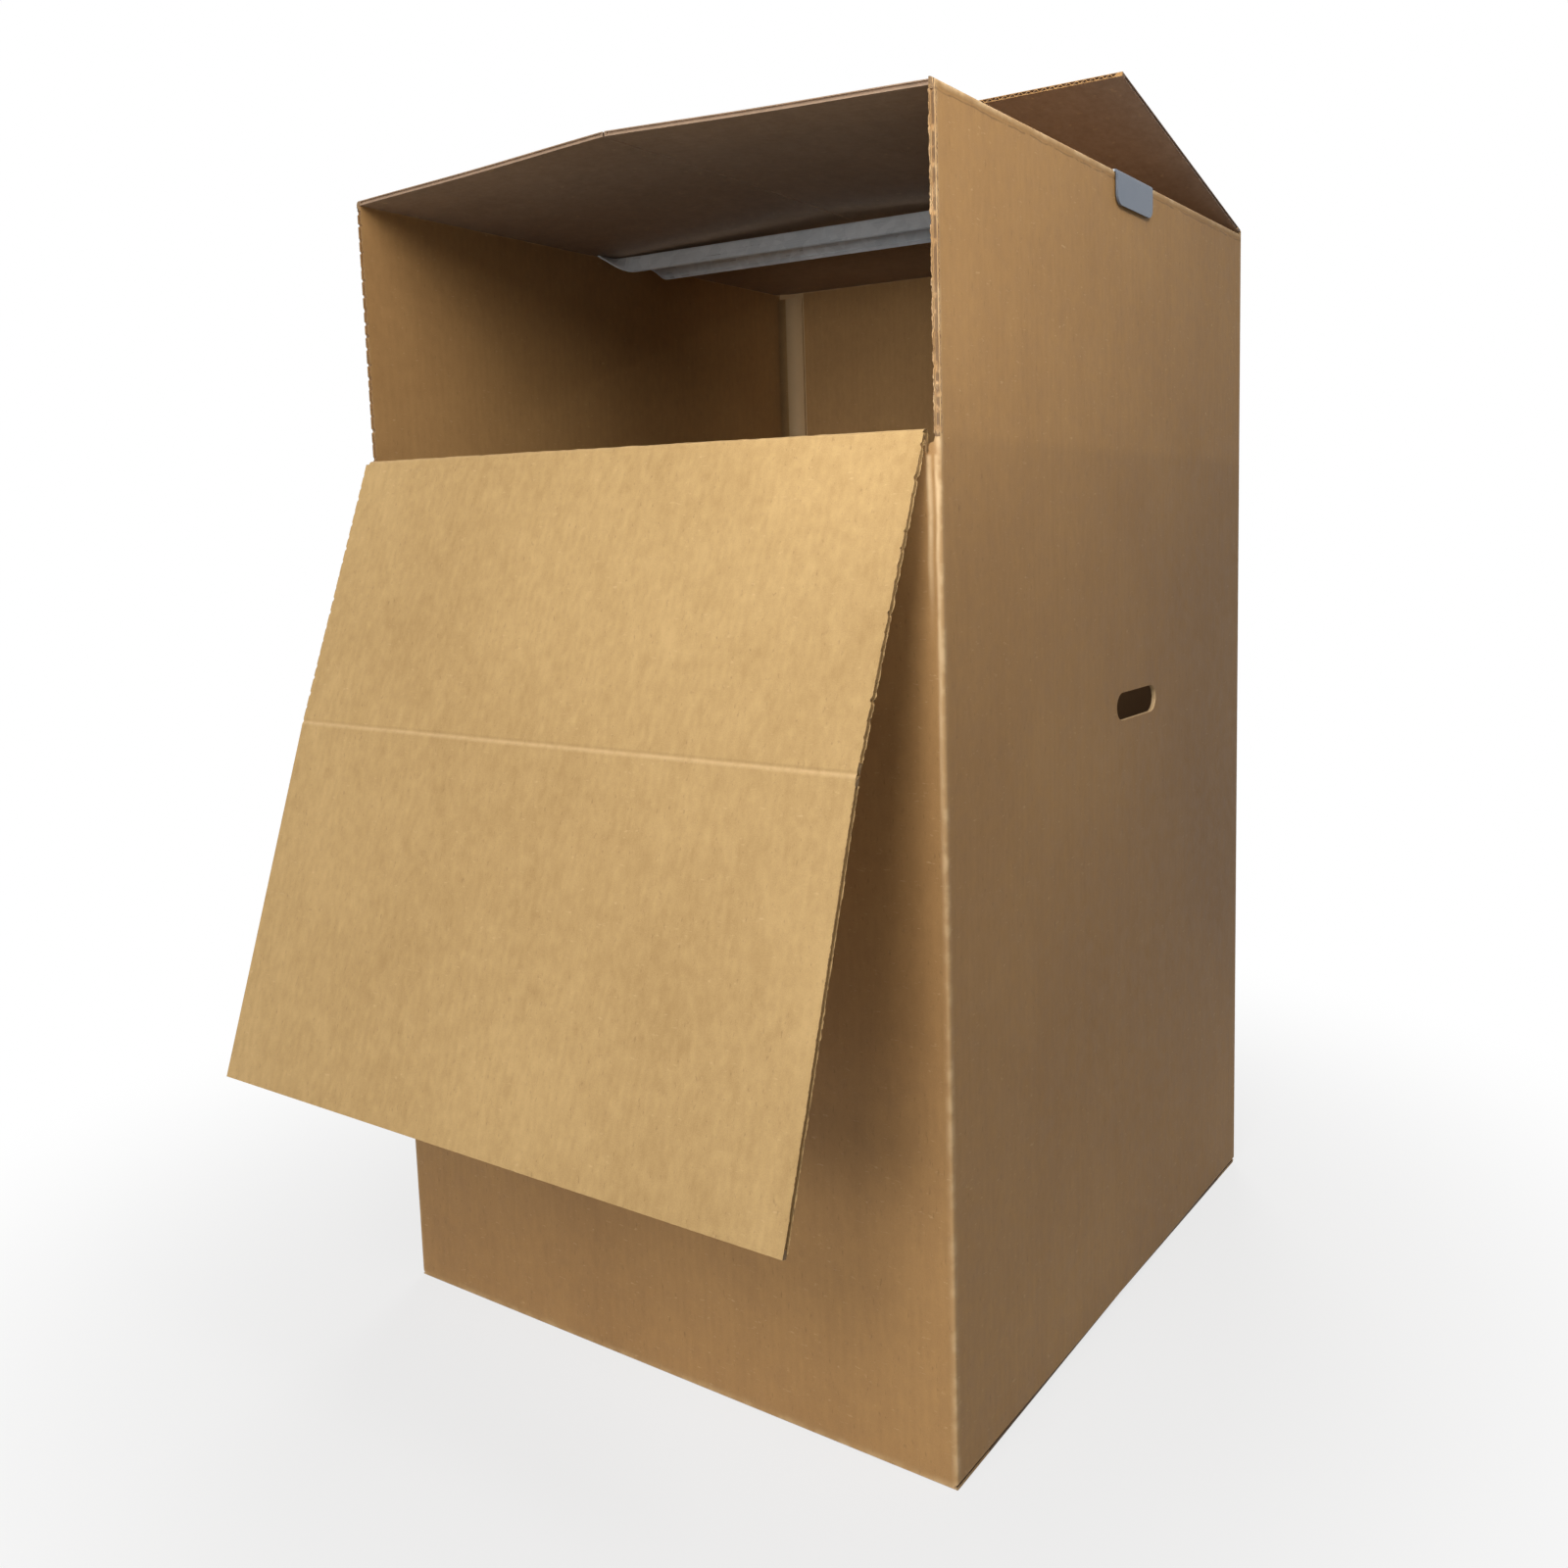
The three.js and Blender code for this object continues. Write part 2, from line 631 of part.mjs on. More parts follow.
function hangerBar() {
  const rightHalf = barStations();
  const leftHalf = [...rightHalf].reverse().map((s) => ({ ...s, x: -s.x, slope: -s.slope }));
  const stations = [...leftHalf, ...rightHalf];
  const rings = stations.map(({ x, z, slope, angle, half }) => sectionRing(angle, half).map((p) => {
    const offset = new THREE.Vector3(0, p.x, p.y).applyAxisAngle(unitY, -slope);
    return offset.add(new THREE.Vector3(x, barBehindMiddle, z));
  }));
  const size = rings[0].length;
  const positions = rings.flat().flatMap((p) => [p.x, p.y, p.z]);
  const faces = [];
  for (let i = 0; i < rings.length - 1; i += 1) {
    for (let j = 0; j < size; j += 1) {
      const a = i * size + j;
      const b = i * size + ((j + 1) % size);
      faces.push(a, a + size, b, b, a + size, b + size);
    }
  }
  const cap = THREE.ShapeUtils.triangulateShape(sectionRing(0, stations[0].half), []);
  const lastRing = (rings.length - 1) * size;
  cap.forEach(([a, b, c]) => {
    faces.push(a, c, b);
    faces.push(lastRing + a, lastRing + b, lastRing + c);
  });
  const geometry = new THREE.BufferGeometry();
  geometry.setAttribute('position', new THREE.BufferAttribute(new Float32Array(positions), 3));
  geometry.setIndex(faces);
  return geometry;
}

// Assembly

function named(name, geometry, material) {
  const mesh = new THREE.Mesh(geometry, material);
  mesh.name = name;
  return mesh;
}

const group = new THREE.Group();

group.add(named('carton', toGeometry(carton()), kraft));
group.add(named('hanger_bar', toGeometry(toSolid(hangerBar())), galvanised));

const rearFlapGeometry = toGeometry(outerFlap(outerFlapInset, outerFlapInset, flapTaper));
const rearFlap = named('rear_flap', rearFlapGeometry, kraft);
rearFlap.rotation.set(radians(90 - rearFlapLift), 0, Math.PI);
rearFlap.position.set(0, halfDepth + hingeOffset, outerCrease);
group.add(rearFlap);

const hatchGroup = new THREE.Group();
hatchGroup.position.set(0, -halfDepth - hingeOffset, hatchHinge);
hatchGroup.rotation.x = radians(180 - hatchHang);
hatchGroup.add(named('drop_front', toGeometry(hatch()), kraftInside));
group.add(hatchGroup);

const frontFlapGeometry = toGeometry(outerFlap(frontFlapInsetLeft, frontFlapInsetRight, 0));
const frontFlap = named('front_flap', frontFlapGeometry, kraftInside);
frontFlap.position.z = hatchLength;
frontFlap.rotation.x = radians(frontFlapBend);
hatchGroup.add(frontFlap);

// The footprint's middle, hatch and all, goes over the origin.
group.updateMatrixWorld(true);
const footprint = new THREE.Box3().setFromObject(group, true);
group.position.y = -(footprint.min.y + footprint.max.y) / 2;
group.updateMatrixWorld(true);

export default group;
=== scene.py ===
"""Looks of a wardrobe moving box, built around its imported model.

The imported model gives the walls, the hatch, the flaps and the hanger bar. This script dresses them in
kraft liner and galvanised steel, bows the closed side flaps up at their seam, bridges the creases with
liner, frays the torn edges, and lights the box in a plain pale studio.
"""

import logging
import math
import random
from collections.abc import Callable
from dataclasses import dataclass, field
from enum import Enum

import bmesh
import bpy
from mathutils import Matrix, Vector


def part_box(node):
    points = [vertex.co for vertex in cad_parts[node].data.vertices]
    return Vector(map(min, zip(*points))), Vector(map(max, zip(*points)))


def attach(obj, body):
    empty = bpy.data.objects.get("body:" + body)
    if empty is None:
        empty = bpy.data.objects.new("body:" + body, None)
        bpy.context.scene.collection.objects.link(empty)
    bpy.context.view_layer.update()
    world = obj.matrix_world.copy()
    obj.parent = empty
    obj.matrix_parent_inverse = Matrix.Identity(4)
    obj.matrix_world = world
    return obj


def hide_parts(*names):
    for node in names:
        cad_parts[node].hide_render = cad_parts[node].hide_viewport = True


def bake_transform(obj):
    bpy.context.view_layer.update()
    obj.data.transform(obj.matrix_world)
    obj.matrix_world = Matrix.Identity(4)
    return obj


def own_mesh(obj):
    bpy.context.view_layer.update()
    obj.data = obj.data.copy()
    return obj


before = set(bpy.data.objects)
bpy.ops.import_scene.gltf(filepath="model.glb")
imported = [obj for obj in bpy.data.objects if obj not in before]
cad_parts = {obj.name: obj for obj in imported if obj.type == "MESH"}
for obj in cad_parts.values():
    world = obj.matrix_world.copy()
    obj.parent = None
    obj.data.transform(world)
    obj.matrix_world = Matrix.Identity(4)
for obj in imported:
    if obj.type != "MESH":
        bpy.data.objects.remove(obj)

LOG = logging.getLogger("wardrobe_box")
MM = 0.001

Colour = tuple[float, float, float, float]
WHITE: Colour = (1.0, 1.0, 1.0, 1.0)


def screen_colour(red: int, green: int, blue: int) -> Colour:
    """Turns a colour as a screen shows it into a linear one.

    Args:
        red: Red, 0 to 255.
        green: Green, 0 to 255.
        blue: Blue, 0 to 255.

    Returns:
        Linear red, green, blue and an alpha of 1.
    """

    def linear(level: int) -> float:
        """Returns the linear value of one channel."""
        share = level / 255
        return share / 12.92 if share <= 0.04045 else ((share + 0.055) / 1.055) ** 2.4

    return (linear(red), linear(green), linear(blue), 1.0)


class Wire:
    """A number socket of a node tree that Python's operators work on."""

    def __init__(self, tree: "NodeTree", socket: bpy.types.NodeSocket) -> None:
        """Keeps the tree and the socket."""
        self.tree = tree
        self.socket = socket

    def math(self, operation: str, *others: "Wire | float") -> "Wire":
        """Adds one Math node.

        Args:
            operation: The node's operation.
            others: What stands in its second and third sockets.

        Returns:
            The node's result.
        """
        inputs = dict(enumerate((self, *others)))
        made = self.tree.node("ShaderNodeMath", inputs, operation=operation)
        return Wire(self.tree, made.outputs[0])

    def __add__(self, other: "Wire | float") -> "Wire":
        """Returns the sum."""
        return self.math("ADD", other)

    def __sub__(self, other: "Wire | float") -> "Wire":
        """Returns the difference."""
        return self.math("SUBTRACT", other)

    def __rsub__(self, other: float) -> "Wire":
        """Returns a plain number less this value."""
        made = self.tree.node("ShaderNodeMath", {0: other, 1: self}, operation="SUBTRACT")
        return Wire(self.tree, made.outputs[0])

    def __mul__(self, other: "Wire | float") -> "Wire":
        """Returns the product."""
        return self.math("MULTIPLY", other)

    def __abs__(self) -> "Wire":
        """Returns the size without the sign."""
        return self.math("ABSOLUTE")

    def above(self, limit: float) -> "Wire":
        """Returns 1 where the value is above the limit, and 0 elsewhere."""
        return self.math("GREATER_THAN", limit)

    def below(self, limit: float) -> "Wire":
        """Returns 0 where the value is above the limit, and 1 elsewhere."""
        return 1 - self.above(limit)

    def clamped(self) -> "Wire":
        """Returns the value kept within 0 and 1."""
        return self.math("MINIMUM", 1.0).math("MAXIMUM", 0.0)

    def rise(self, start: float, end: float) -> "Wire":
        """Runs smoothly from 0 at start to 1 at end.

        Args:
            start: Value that gives 0.
            end: Value that gives 1, above or below start.

        Returns:
            The smooth step.
        """
        inputs = {"Value": self, "From Min": start, "From Max": end}
        made = self.tree.node("ShaderNodeMapRange", inputs, interpolation_type="SMOOTHSTEP")
        return Wire(self.tree, made.outputs["Result"])

    def hump(self, middle: float, half: float) -> "Wire":
        """Returns 1 at the middle, falling smoothly to 0 at half a width to either side."""
        return abs(self - middle).rise(half, 0.0)


class NodeTree:
    """The node tree of a material or of the world."""

    def __init__(self, owner: bpy.types.Material | bpy.types.World) -> None:
        """Turns on the owner's nodes.

        Args:
            owner: What the tree belongs to.
        """
        owner.use_nodes = True
        self.nodes = owner.node_tree.nodes
        self.links = owner.node_tree.links

    def node(self, kind: str, inputs: dict | None = None, **settings: object) -> bpy.types.Node:
        """Adds any node.

        Args:
            kind: The node's type.
            inputs: Values or links of its sockets, by name or number.
            settings: Its properties, set first.

        Returns:
            The node.
        """
        made = self.nodes.new(kind)
        for key, value in settings.items():
            setattr(made, key, value)
        self.feed(made, inputs or {})
        return made

    def feed(self, made: bpy.types.Node, inputs: dict) -> None:
        """Gives a node's sockets their values or links.

        Args:
            made: The node.
            inputs: Values, wires or sockets by socket name or number.
        """
        for key, value in inputs.items():
            if isinstance(value, Wire):
                self.links.new(value.socket, made.inputs[key])
            elif isinstance(value, bpy.types.NodeSocket):
                self.links.new(value, made.inputs[key])
            else:
                made.inputs[key].default_value = value

    def seen(self) -> Wire:
        """Returns 1 for a ray from the camera or off a shiny face, and 0 for any other."""
        rays = self.node("ShaderNodeLightPath").outputs
        return Wire(self, rays["Is Camera Ray"]).math("MAXIMUM", Wire(self, rays["Is Glossy Ray"]))


class ShaderTree(NodeTree):
    """The node tree of one material, with a Principled shader at its end."""

    def __init__(self, name: str) -> None:
        """Makes the material.

        Args:
            name: The material's name.
        """
        self.material = bpy.data.materials.new(name)
        super().__init__(self.material)
        self.shader = self.nodes["Principled BSDF"]
        self.place = self.node("ShaderNodeTexCoord")

    def axes(self, output: str) -> tuple[Wire, Wire, Wire]:
        """Splits a texture coordinate.

        Args:
            output: The coordinate's name, such as Object or Normal.

        Returns:
            Its x, y and z.
        """
        split = self.node("ShaderNodeSeparateXYZ", {0: self.place.outputs[output]})
        return tuple(Wire(self, split.outputs[i]) for i in range(3))

    def stretched(self, scale: tuple[float, float, float]) -> bpy.types.NodeSocket:
        """Returns Object coordinates scaled by a factor for each axis."""
        inputs = {"Vector": self.place.outputs["Object"], "Scale": scale}
        return self.node("ShaderNodeMapping", inputs).outputs[0]

    def noise(self, scale: float, detail: float, vector: bpy.types.NodeSocket | None = None) -> Wire:
        """Adds a noise texture.

        Args:
            scale: Cells to the metre.
            detail: Octaves.
            vector: What it reads, or None for Object coordinates.

        Returns:
            Values round 0.5.
        """
        inputs = {"Vector": vector or self.place.outputs["Object"], "Scale": scale, "Detail": detail}
        return Wire(self, self.node("ShaderNodeTexNoise", inputs).outputs["Fac"])

    def mix(self, share: Wire | float, first: object, second: object) -> bpy.types.NodeSocket:
        """Mixes two colours.

        Args:
            share: How much of the second colour there is.
            first: A colour or a colour socket.
            second: A colour or a colour socket.

        Returns:
            The mixed colour's socket.
        """
        made = self.node("ShaderNodeMix", {0: share, 6: first, 7: second}, data_type="RGBA")
        return made.outputs[2]

    def bump(self, height: Wire, distance: float, strength: float) -> bpy.types.NodeSocket:
        """Adds a Bump node.

        Args:
            height: The surface's height, 0 to 1.
            distance: How far 1 stands above 0, in metres.
            strength: The node's strength.

        Returns:
            The bumped normal's socket.
        """
        inputs = {"Height": height, "Distance": distance, "Strength": strength}
        return self.node("ShaderNodeBump", inputs).outputs[0]


class FluteLines(Enum):
    """Which coordinate runs across the flutes of a piece."""

    X = "x"
    Y = "y"
    BY_WALL = "x on the front and back walls, y on the side walls"


class OuterSide(Enum):
    """Which way the outer liner of a panel faces at rest, by the number of its axis."""

    NONE = -1
    BACK = 1
    TOP = 2


@dataclass(frozen=True)
class KraftLiner:
    """Brown kraft liner over corrugated board.

    The colour is mottled like pulp and a little lighter over each flute, with dark and light fibres.
    Where the board is creased or handled the liner is rubbed pale; on the walls some masks also paint
    shade and highlights. Heights and depths are in the frame.
    """

    name: str
    flutes: FluteLines
    middle_y: float
    half_side: float
    light: Colour = screen_colour(203, 169, 115)
    dark: Colour = screen_colour(176, 142, 91)
    # rubbed: pale worn liner, also the colour of painted highlights
    rubbed: Colour = screen_colour(224, 192, 146)
    fibre: Colour = screen_colour(116, 82, 50)
    # core: the fluting's dark tone, also the colour of painted shade
    core: Colour = screen_colour(84, 59, 36)
    outer_light: Colour = screen_colour(191, 148, 94)
    outer_dark: Colour = screen_colour(161, 121, 74)
    outer_side: OuterSide = OuterSide.NONE
    flute_pitch: float = 8 * MM
    hand_hole_z: float = 563.5 * MM
    hand_hole_back: float = 31 * MM
    hand_hole_reach: tuple[float, float] = (55 * MM, 20 * MM)
    opening_z: float = 790 * MM
    score_z: float = 1020.5 * MM
    lap_side: float = 266.5 * MM
    back_face: float = 380 * MM
    skin: float = 1.5 * MM
    wall: float = 4.5 * MM
    corner_wear: float = 7 * MM
    bottom_wear: float = 9 * MM
    # heights of the painted highlight along the top folds
    top_highlight: tuple[float, float] = (1022 * MM, 1026 * MM)
    # painted shade inside the box: none at the first height, full at the second
    dark_depth: tuple[float, float] = (800 * MM, 640 * MM)
    roughness: float = 0.62
    mottling: float = 1.0
    box_wear_and_painted_light: bool = False
    crease_wear: bool = False

    def build(self) -> bpy.types.Material:
        """Makes the material.

        Returns:
            The material.
        """
        tree = ShaderTree(self.name)
        across = self._across(tree)
        lines = (across * (2 * math.pi / self.flute_pitch)).math("SINE") * 0.5 + 0.5
        broad = tree.noise(5, 3)
        mottle = tree.noise(85, 4)
        grain = tree.noise(1400, 2)
        streaks = tree.noise(70, 3, tree.stretched((1.0, 1.0, 0.12)))
        pulp = tree.noise(190, 3, tree.stretched((1.0, 1.0, 0.4)))
        cloudy = (mottle - 0.5) * 0.8 + (grain - 0.5) * 0.9
        cloudy = cloudy + (streaks - 0.5) * 0.6 + (pulp - 0.5) * 0.8
        cloudy = cloudy * self.mottling + (broad - 0.5) * 1.2
        tone = cloudy + (lines - 0.5) * ((broad - 0.5) * 0.15 + 0.05) + 0.5
        light, dark = self.light, self.dark
        if self.outer_side is not OuterSide.NONE:
            outer = tree.axes("Normal")[self.outer_side.value].above(0.2)
            light = tree.mix(outer, self.light, self.outer_light)
            dark = tree.mix(outer, self.dark, self.outer_dark)
        colour = tree.mix(tone.clamped(), dark, light)
        threads = tree.noise(420, 3, tree.stretched((1.0, 1.0, 0.32)))
        colour = tree.mix(threads.rise(0.62, 0.78) * 0.35, colour, self.fibre)
        pale_threads = tree.noise(360, 3, tree.stretched((0.4, 0.4, 1.2)))
        colour = tree.mix(pale_threads.rise(0.64, 0.8) * 0.4, colour, self.rubbed)
        if self.box_wear_and_painted_light:
            # the walls' masks: real wear, lap and hole rims, with painted shade and highlights
            for share, mark in (
                # painted shade on the side walls' outer faces
                (self._painted_side_shade(tree), self.core),
                # rubbed wear at the corners and bottom, painted highlight along the top folds
                (self._wear_and_top_highlight(tree, across), self.rubbed),
                # painted highlight down the front right corner
                (self._painted_corner_highlight(tree), self.rubbed),
                # painted shade of the score groove under the top folds
                (self._painted_score_shade(tree), self.core),
                (self._lap(tree), self.rubbed),
                # painted shade inside the lower box
                (self._painted_depth_shade(tree), self.core),
                (self._hole_rim(tree), self.rubbed),
            ):
                colour = tree.mix(share, colour, mark)
        if self.crease_wear:
            attribute = tree.node("ShaderNodeAttribute", attribute_name="rub")
            patchy = tree.noise(220, 3).rise(0.3, 0.6) * 0.5 + 0.5
            colour = tree.mix(Wire(tree, attribute.outputs["Fac"]) * patchy, colour, self.rubbed)
        # cut faces: the fluting's darker tone with painted shade in its cells
        colour = tree.mix(self._torn_edge(tree), colour, self.core)
        height = lines * 0.3 + streaks * 0.3 + (mottle - 0.5) * 0.5 + (grain - 0.5) * 0.25
        tree.feed(
            tree.shader,
            {
                "Base Color": colour,
                "Roughness": (mottle - 0.5) * 0.22 + self.roughness,
                "Specular IOR Level": 0.4,
                "Normal": tree.bump(height, 0.12 * MM, 0.5),
            },
        )
        return tree.material

    def _across(self, tree: ShaderTree) -> Wire:
        """Centres the coordinate that runs across the flutes.

        Args:
            tree: The material's nodes.

        Returns:
            The coordinate.
        """
        x, y, _ = tree.axes("Object")
        if self.flutes is FluteLines.X:
            return x
        if self.flutes is FluteLines.Y:
            return y - self.middle_y
        normal_x, _, _ = tree.axes("Normal")
        side = abs(normal_x).above(0.6)
        return x * (1 - side) + (y - self.middle_y) * side

    def _wear_and_top_highlight(self, tree: ShaderTree, across: Wire) -> Wire:
        """Rubs the liner of the walls pale along their corner and bottom folds, and paints a highlight
        along the top folds.

        Args:
            tree: The material's nodes.
            across: The coordinate across the flutes.

        Returns:
            The mask, 0 to 1.
        """
        _, _, z = tree.axes("Object")
        patchy = tree.noise(60, 4).rise(0.4, 0.66)
        corner = abs(across).rise(self.half_side - self.corner_wear, self.half_side)
        bottom = z.rise(self.bottom_wear, 0.0)
        # painted highlight along the bead of the top folds
        top = z.rise(*self.top_highlight)
        return ((corner + bottom + top) * (patchy * 0.5 + 0.25)).math("MINIMUM", 0.8)

    def _torn_edge(self, tree: ShaderTree) -> Wire:
        """Darkens the cut faces between the liners: the fluting's own darker tone, with painted shade in
        its open cells.

        Args:
            tree: The material's nodes.

        Returns:
            The mask, 0 to 1.
        """
        normal_x, normal_y, _ = tree.axes("Normal")
        ragged = tree.noise(160, 3).rise(0.28, 0.5) * 0.75
        if self.flutes is FluteLines.X:
            return abs(normal_x).above(0.7) * ragged
        x, _, z = tree.axes("Object")
        front_edge = (normal_y * -1).above(0.5) * z.above(self.opening_z)
        return front_edge * abs(x).above(self.half_side - self.wall) * ragged

    def _painted_score_shade(self, tree: ShaderTree) -> Wire:
        """Paints the shade of the wandering score groove as a dark line just under the side walls'
        folds.

        Args:
            tree: The material's nodes.

        Returns:
            The mask, 0 to 1.
        """
        x, _, z = tree.axes("Object")
        wander = (tree.noise(45, 3) - 0.5) * 5 * MM
        outside = abs(x).above(self.half_side - self.skin)
        patchy = tree.noise(120, 2).rise(0.3, 0.55)
        return (z + wander).hump(self.score_z, 1.3 * MM) * outside * patchy * 0.5

    def _lap(self, tree: ShaderTree) -> Wire:
        """Finds the glued lap inside the back left corner, which is paler than the wall it lies on.

        Args:
            tree: The material's nodes.

        Returns:
            The mask, 0 to 1.
        """
        x, y, _ = tree.axes("Object")
        _, normal_y, _ = tree.axes("Normal")
        facing = (normal_y * -1).above(0.5) * y.above(self.back_face)
        return facing * (x * -1).above(self.lap_side) * 0.55

    def _painted_depth_shade(self, tree: ShaderTree) -> Wire:
        """Paints shade on the inner liner down the closed lower box, where little light gets.

        Args:
            tree: The material's nodes.

        Returns:
            The mask, 0 to 1.
        """
        x, y, z = tree.axes("Object")
        inner = self.half_side - 2 * MM
        inside = abs(x).below(inner) * abs(y - self.middle_y).below(inner)
        return inside * z.rise(*self.dark_depth) * 0.85

    def _painted_side_shade(self, tree: ShaderTree) -> Wire:
        """Paints shade on the side walls' outer faces: darker toward the back and below the height of
        the torn front, fading out toward the floor.

        Args:
            tree: The material's nodes.

        Returns:
            The mask, 0 to 1.
        """
        x, y, z = tree.axes("Object")
        outside = abs(x).above(self.half_side - self.skin)
        rearward = y.rise(-0.1, self.back_face) * z.rise(0.9, 0.66) * 0.26
        band = z.rise(self.opening_z + 8 * MM, self.opening_z - 6 * MM) * 0.12
        return outside * (band + rearward) * z.rise(0.05, 0.4)

    def _hole_rim(self, tree: ShaderTree) -> Wire:
        """Finds the clean cut faces inside the hand holes, where the plies show pale.

        Args:
            tree: The material's nodes.

        Returns:
            The mask, 0 to 1.
        """
        x, y, z = tree.axes("Object")
        normal_x, _, _ = tree.axes("Normal")
        along, high = self.hand_hole_reach
        in_wall = abs(x).above(self.half_side - self.wall) * abs(normal_x).below(0.6)
        level = abs(z - self.hand_hole_z).below(high)
        return in_wall * level * abs(y - self.middle_y - self.hand_hole_back).below(along) * 0.7

    def _painted_corner_highlight(self, tree: ShaderTree) -> Wire:
        """Paints two highlight lines down the rounded front right corner below the nub, where the fold
        catches light.

        Args:
            tree: The material's nodes.

        Returns:
            The mask, 0 to 1.
        """
        x, y, z = tree.axes("Object")
        wander = (tree.noise(30, 2) - 0.5) * 3 * MM
        inset = x * -1 + self.half_side + wander
        broad = inset.hump(9.0 * MM, 3.6 * MM) * z.rise(0.64, 0.73)
        narrow = inset.hump(3.0 * MM, 2.2 * MM) * z.rise(0.38, 0.70)
        front = (y * -1).above(self.half_side - self.middle_y - 6 * MM)
        patchy = tree.noise(70, 3).rise(0.25, 0.6) * 0.4 + 0.5
        return (broad + narrow) * front * z.rise(0.779, 0.776) * patchy


@dataclass(frozen=True)
class GalvanisedSheet:
    """Rolled zinc-coated sheet: faint spangle, dull grey, with fine rolling scratches along it."""

    name: str = "galvanised_sheet"
    light: Colour = screen_colour(238, 244, 249)
    dark: Colour = screen_colour(198, 206, 213)
    # darker, bluer colour of the hook ends outside the walls
    hook_end_tone: Colour = screen_colour(70, 84, 105)
    hook_face: float = 309 * MM

    def build(self) -> bpy.types.Material:
        """Makes the material.

        Returns:
            The material.
        """
        tree = ShaderTree(self.name)
        inputs = {"Vector": tree.place.outputs["Object"], "Scale": 110.0}
        cells = tree.node("ShaderNodeTexVoronoi", inputs)
        split = tree.node("ShaderNodeSeparateColor", {0: cells.outputs["Color"]})
        spangle = Wire(tree, split.outputs[0])
        cloud = tree.noise(14, 3)
        scratch = tree.noise(900, 2, tree.stretched((0.02, 1.0, 1.0)))
        tone = (spangle - 0.5) * 0.35 + (cloud - 0.5) * 0.9 + (scratch - 0.5) * 0.5 + 0.5
        colour = tree.mix(tone.clamped(), self.dark, self.light)
        x, _, _ = tree.axes("Object")
        colour = tree.mix(abs(x).above(self.hook_face) * 0.85, colour, self.hook_end_tone)
        tree.feed(
            tree.shader,
            {
                "Base Color": colour,
                "Metallic": 0.3,
                "Roughness": (scratch - 0.5) * 0.25 + (spangle - 0.5) * 0.1 + 0.36,
                "Normal": tree.bump(scratch, 0.03 * MM, 0.3),
            },
        )
        return tree.material


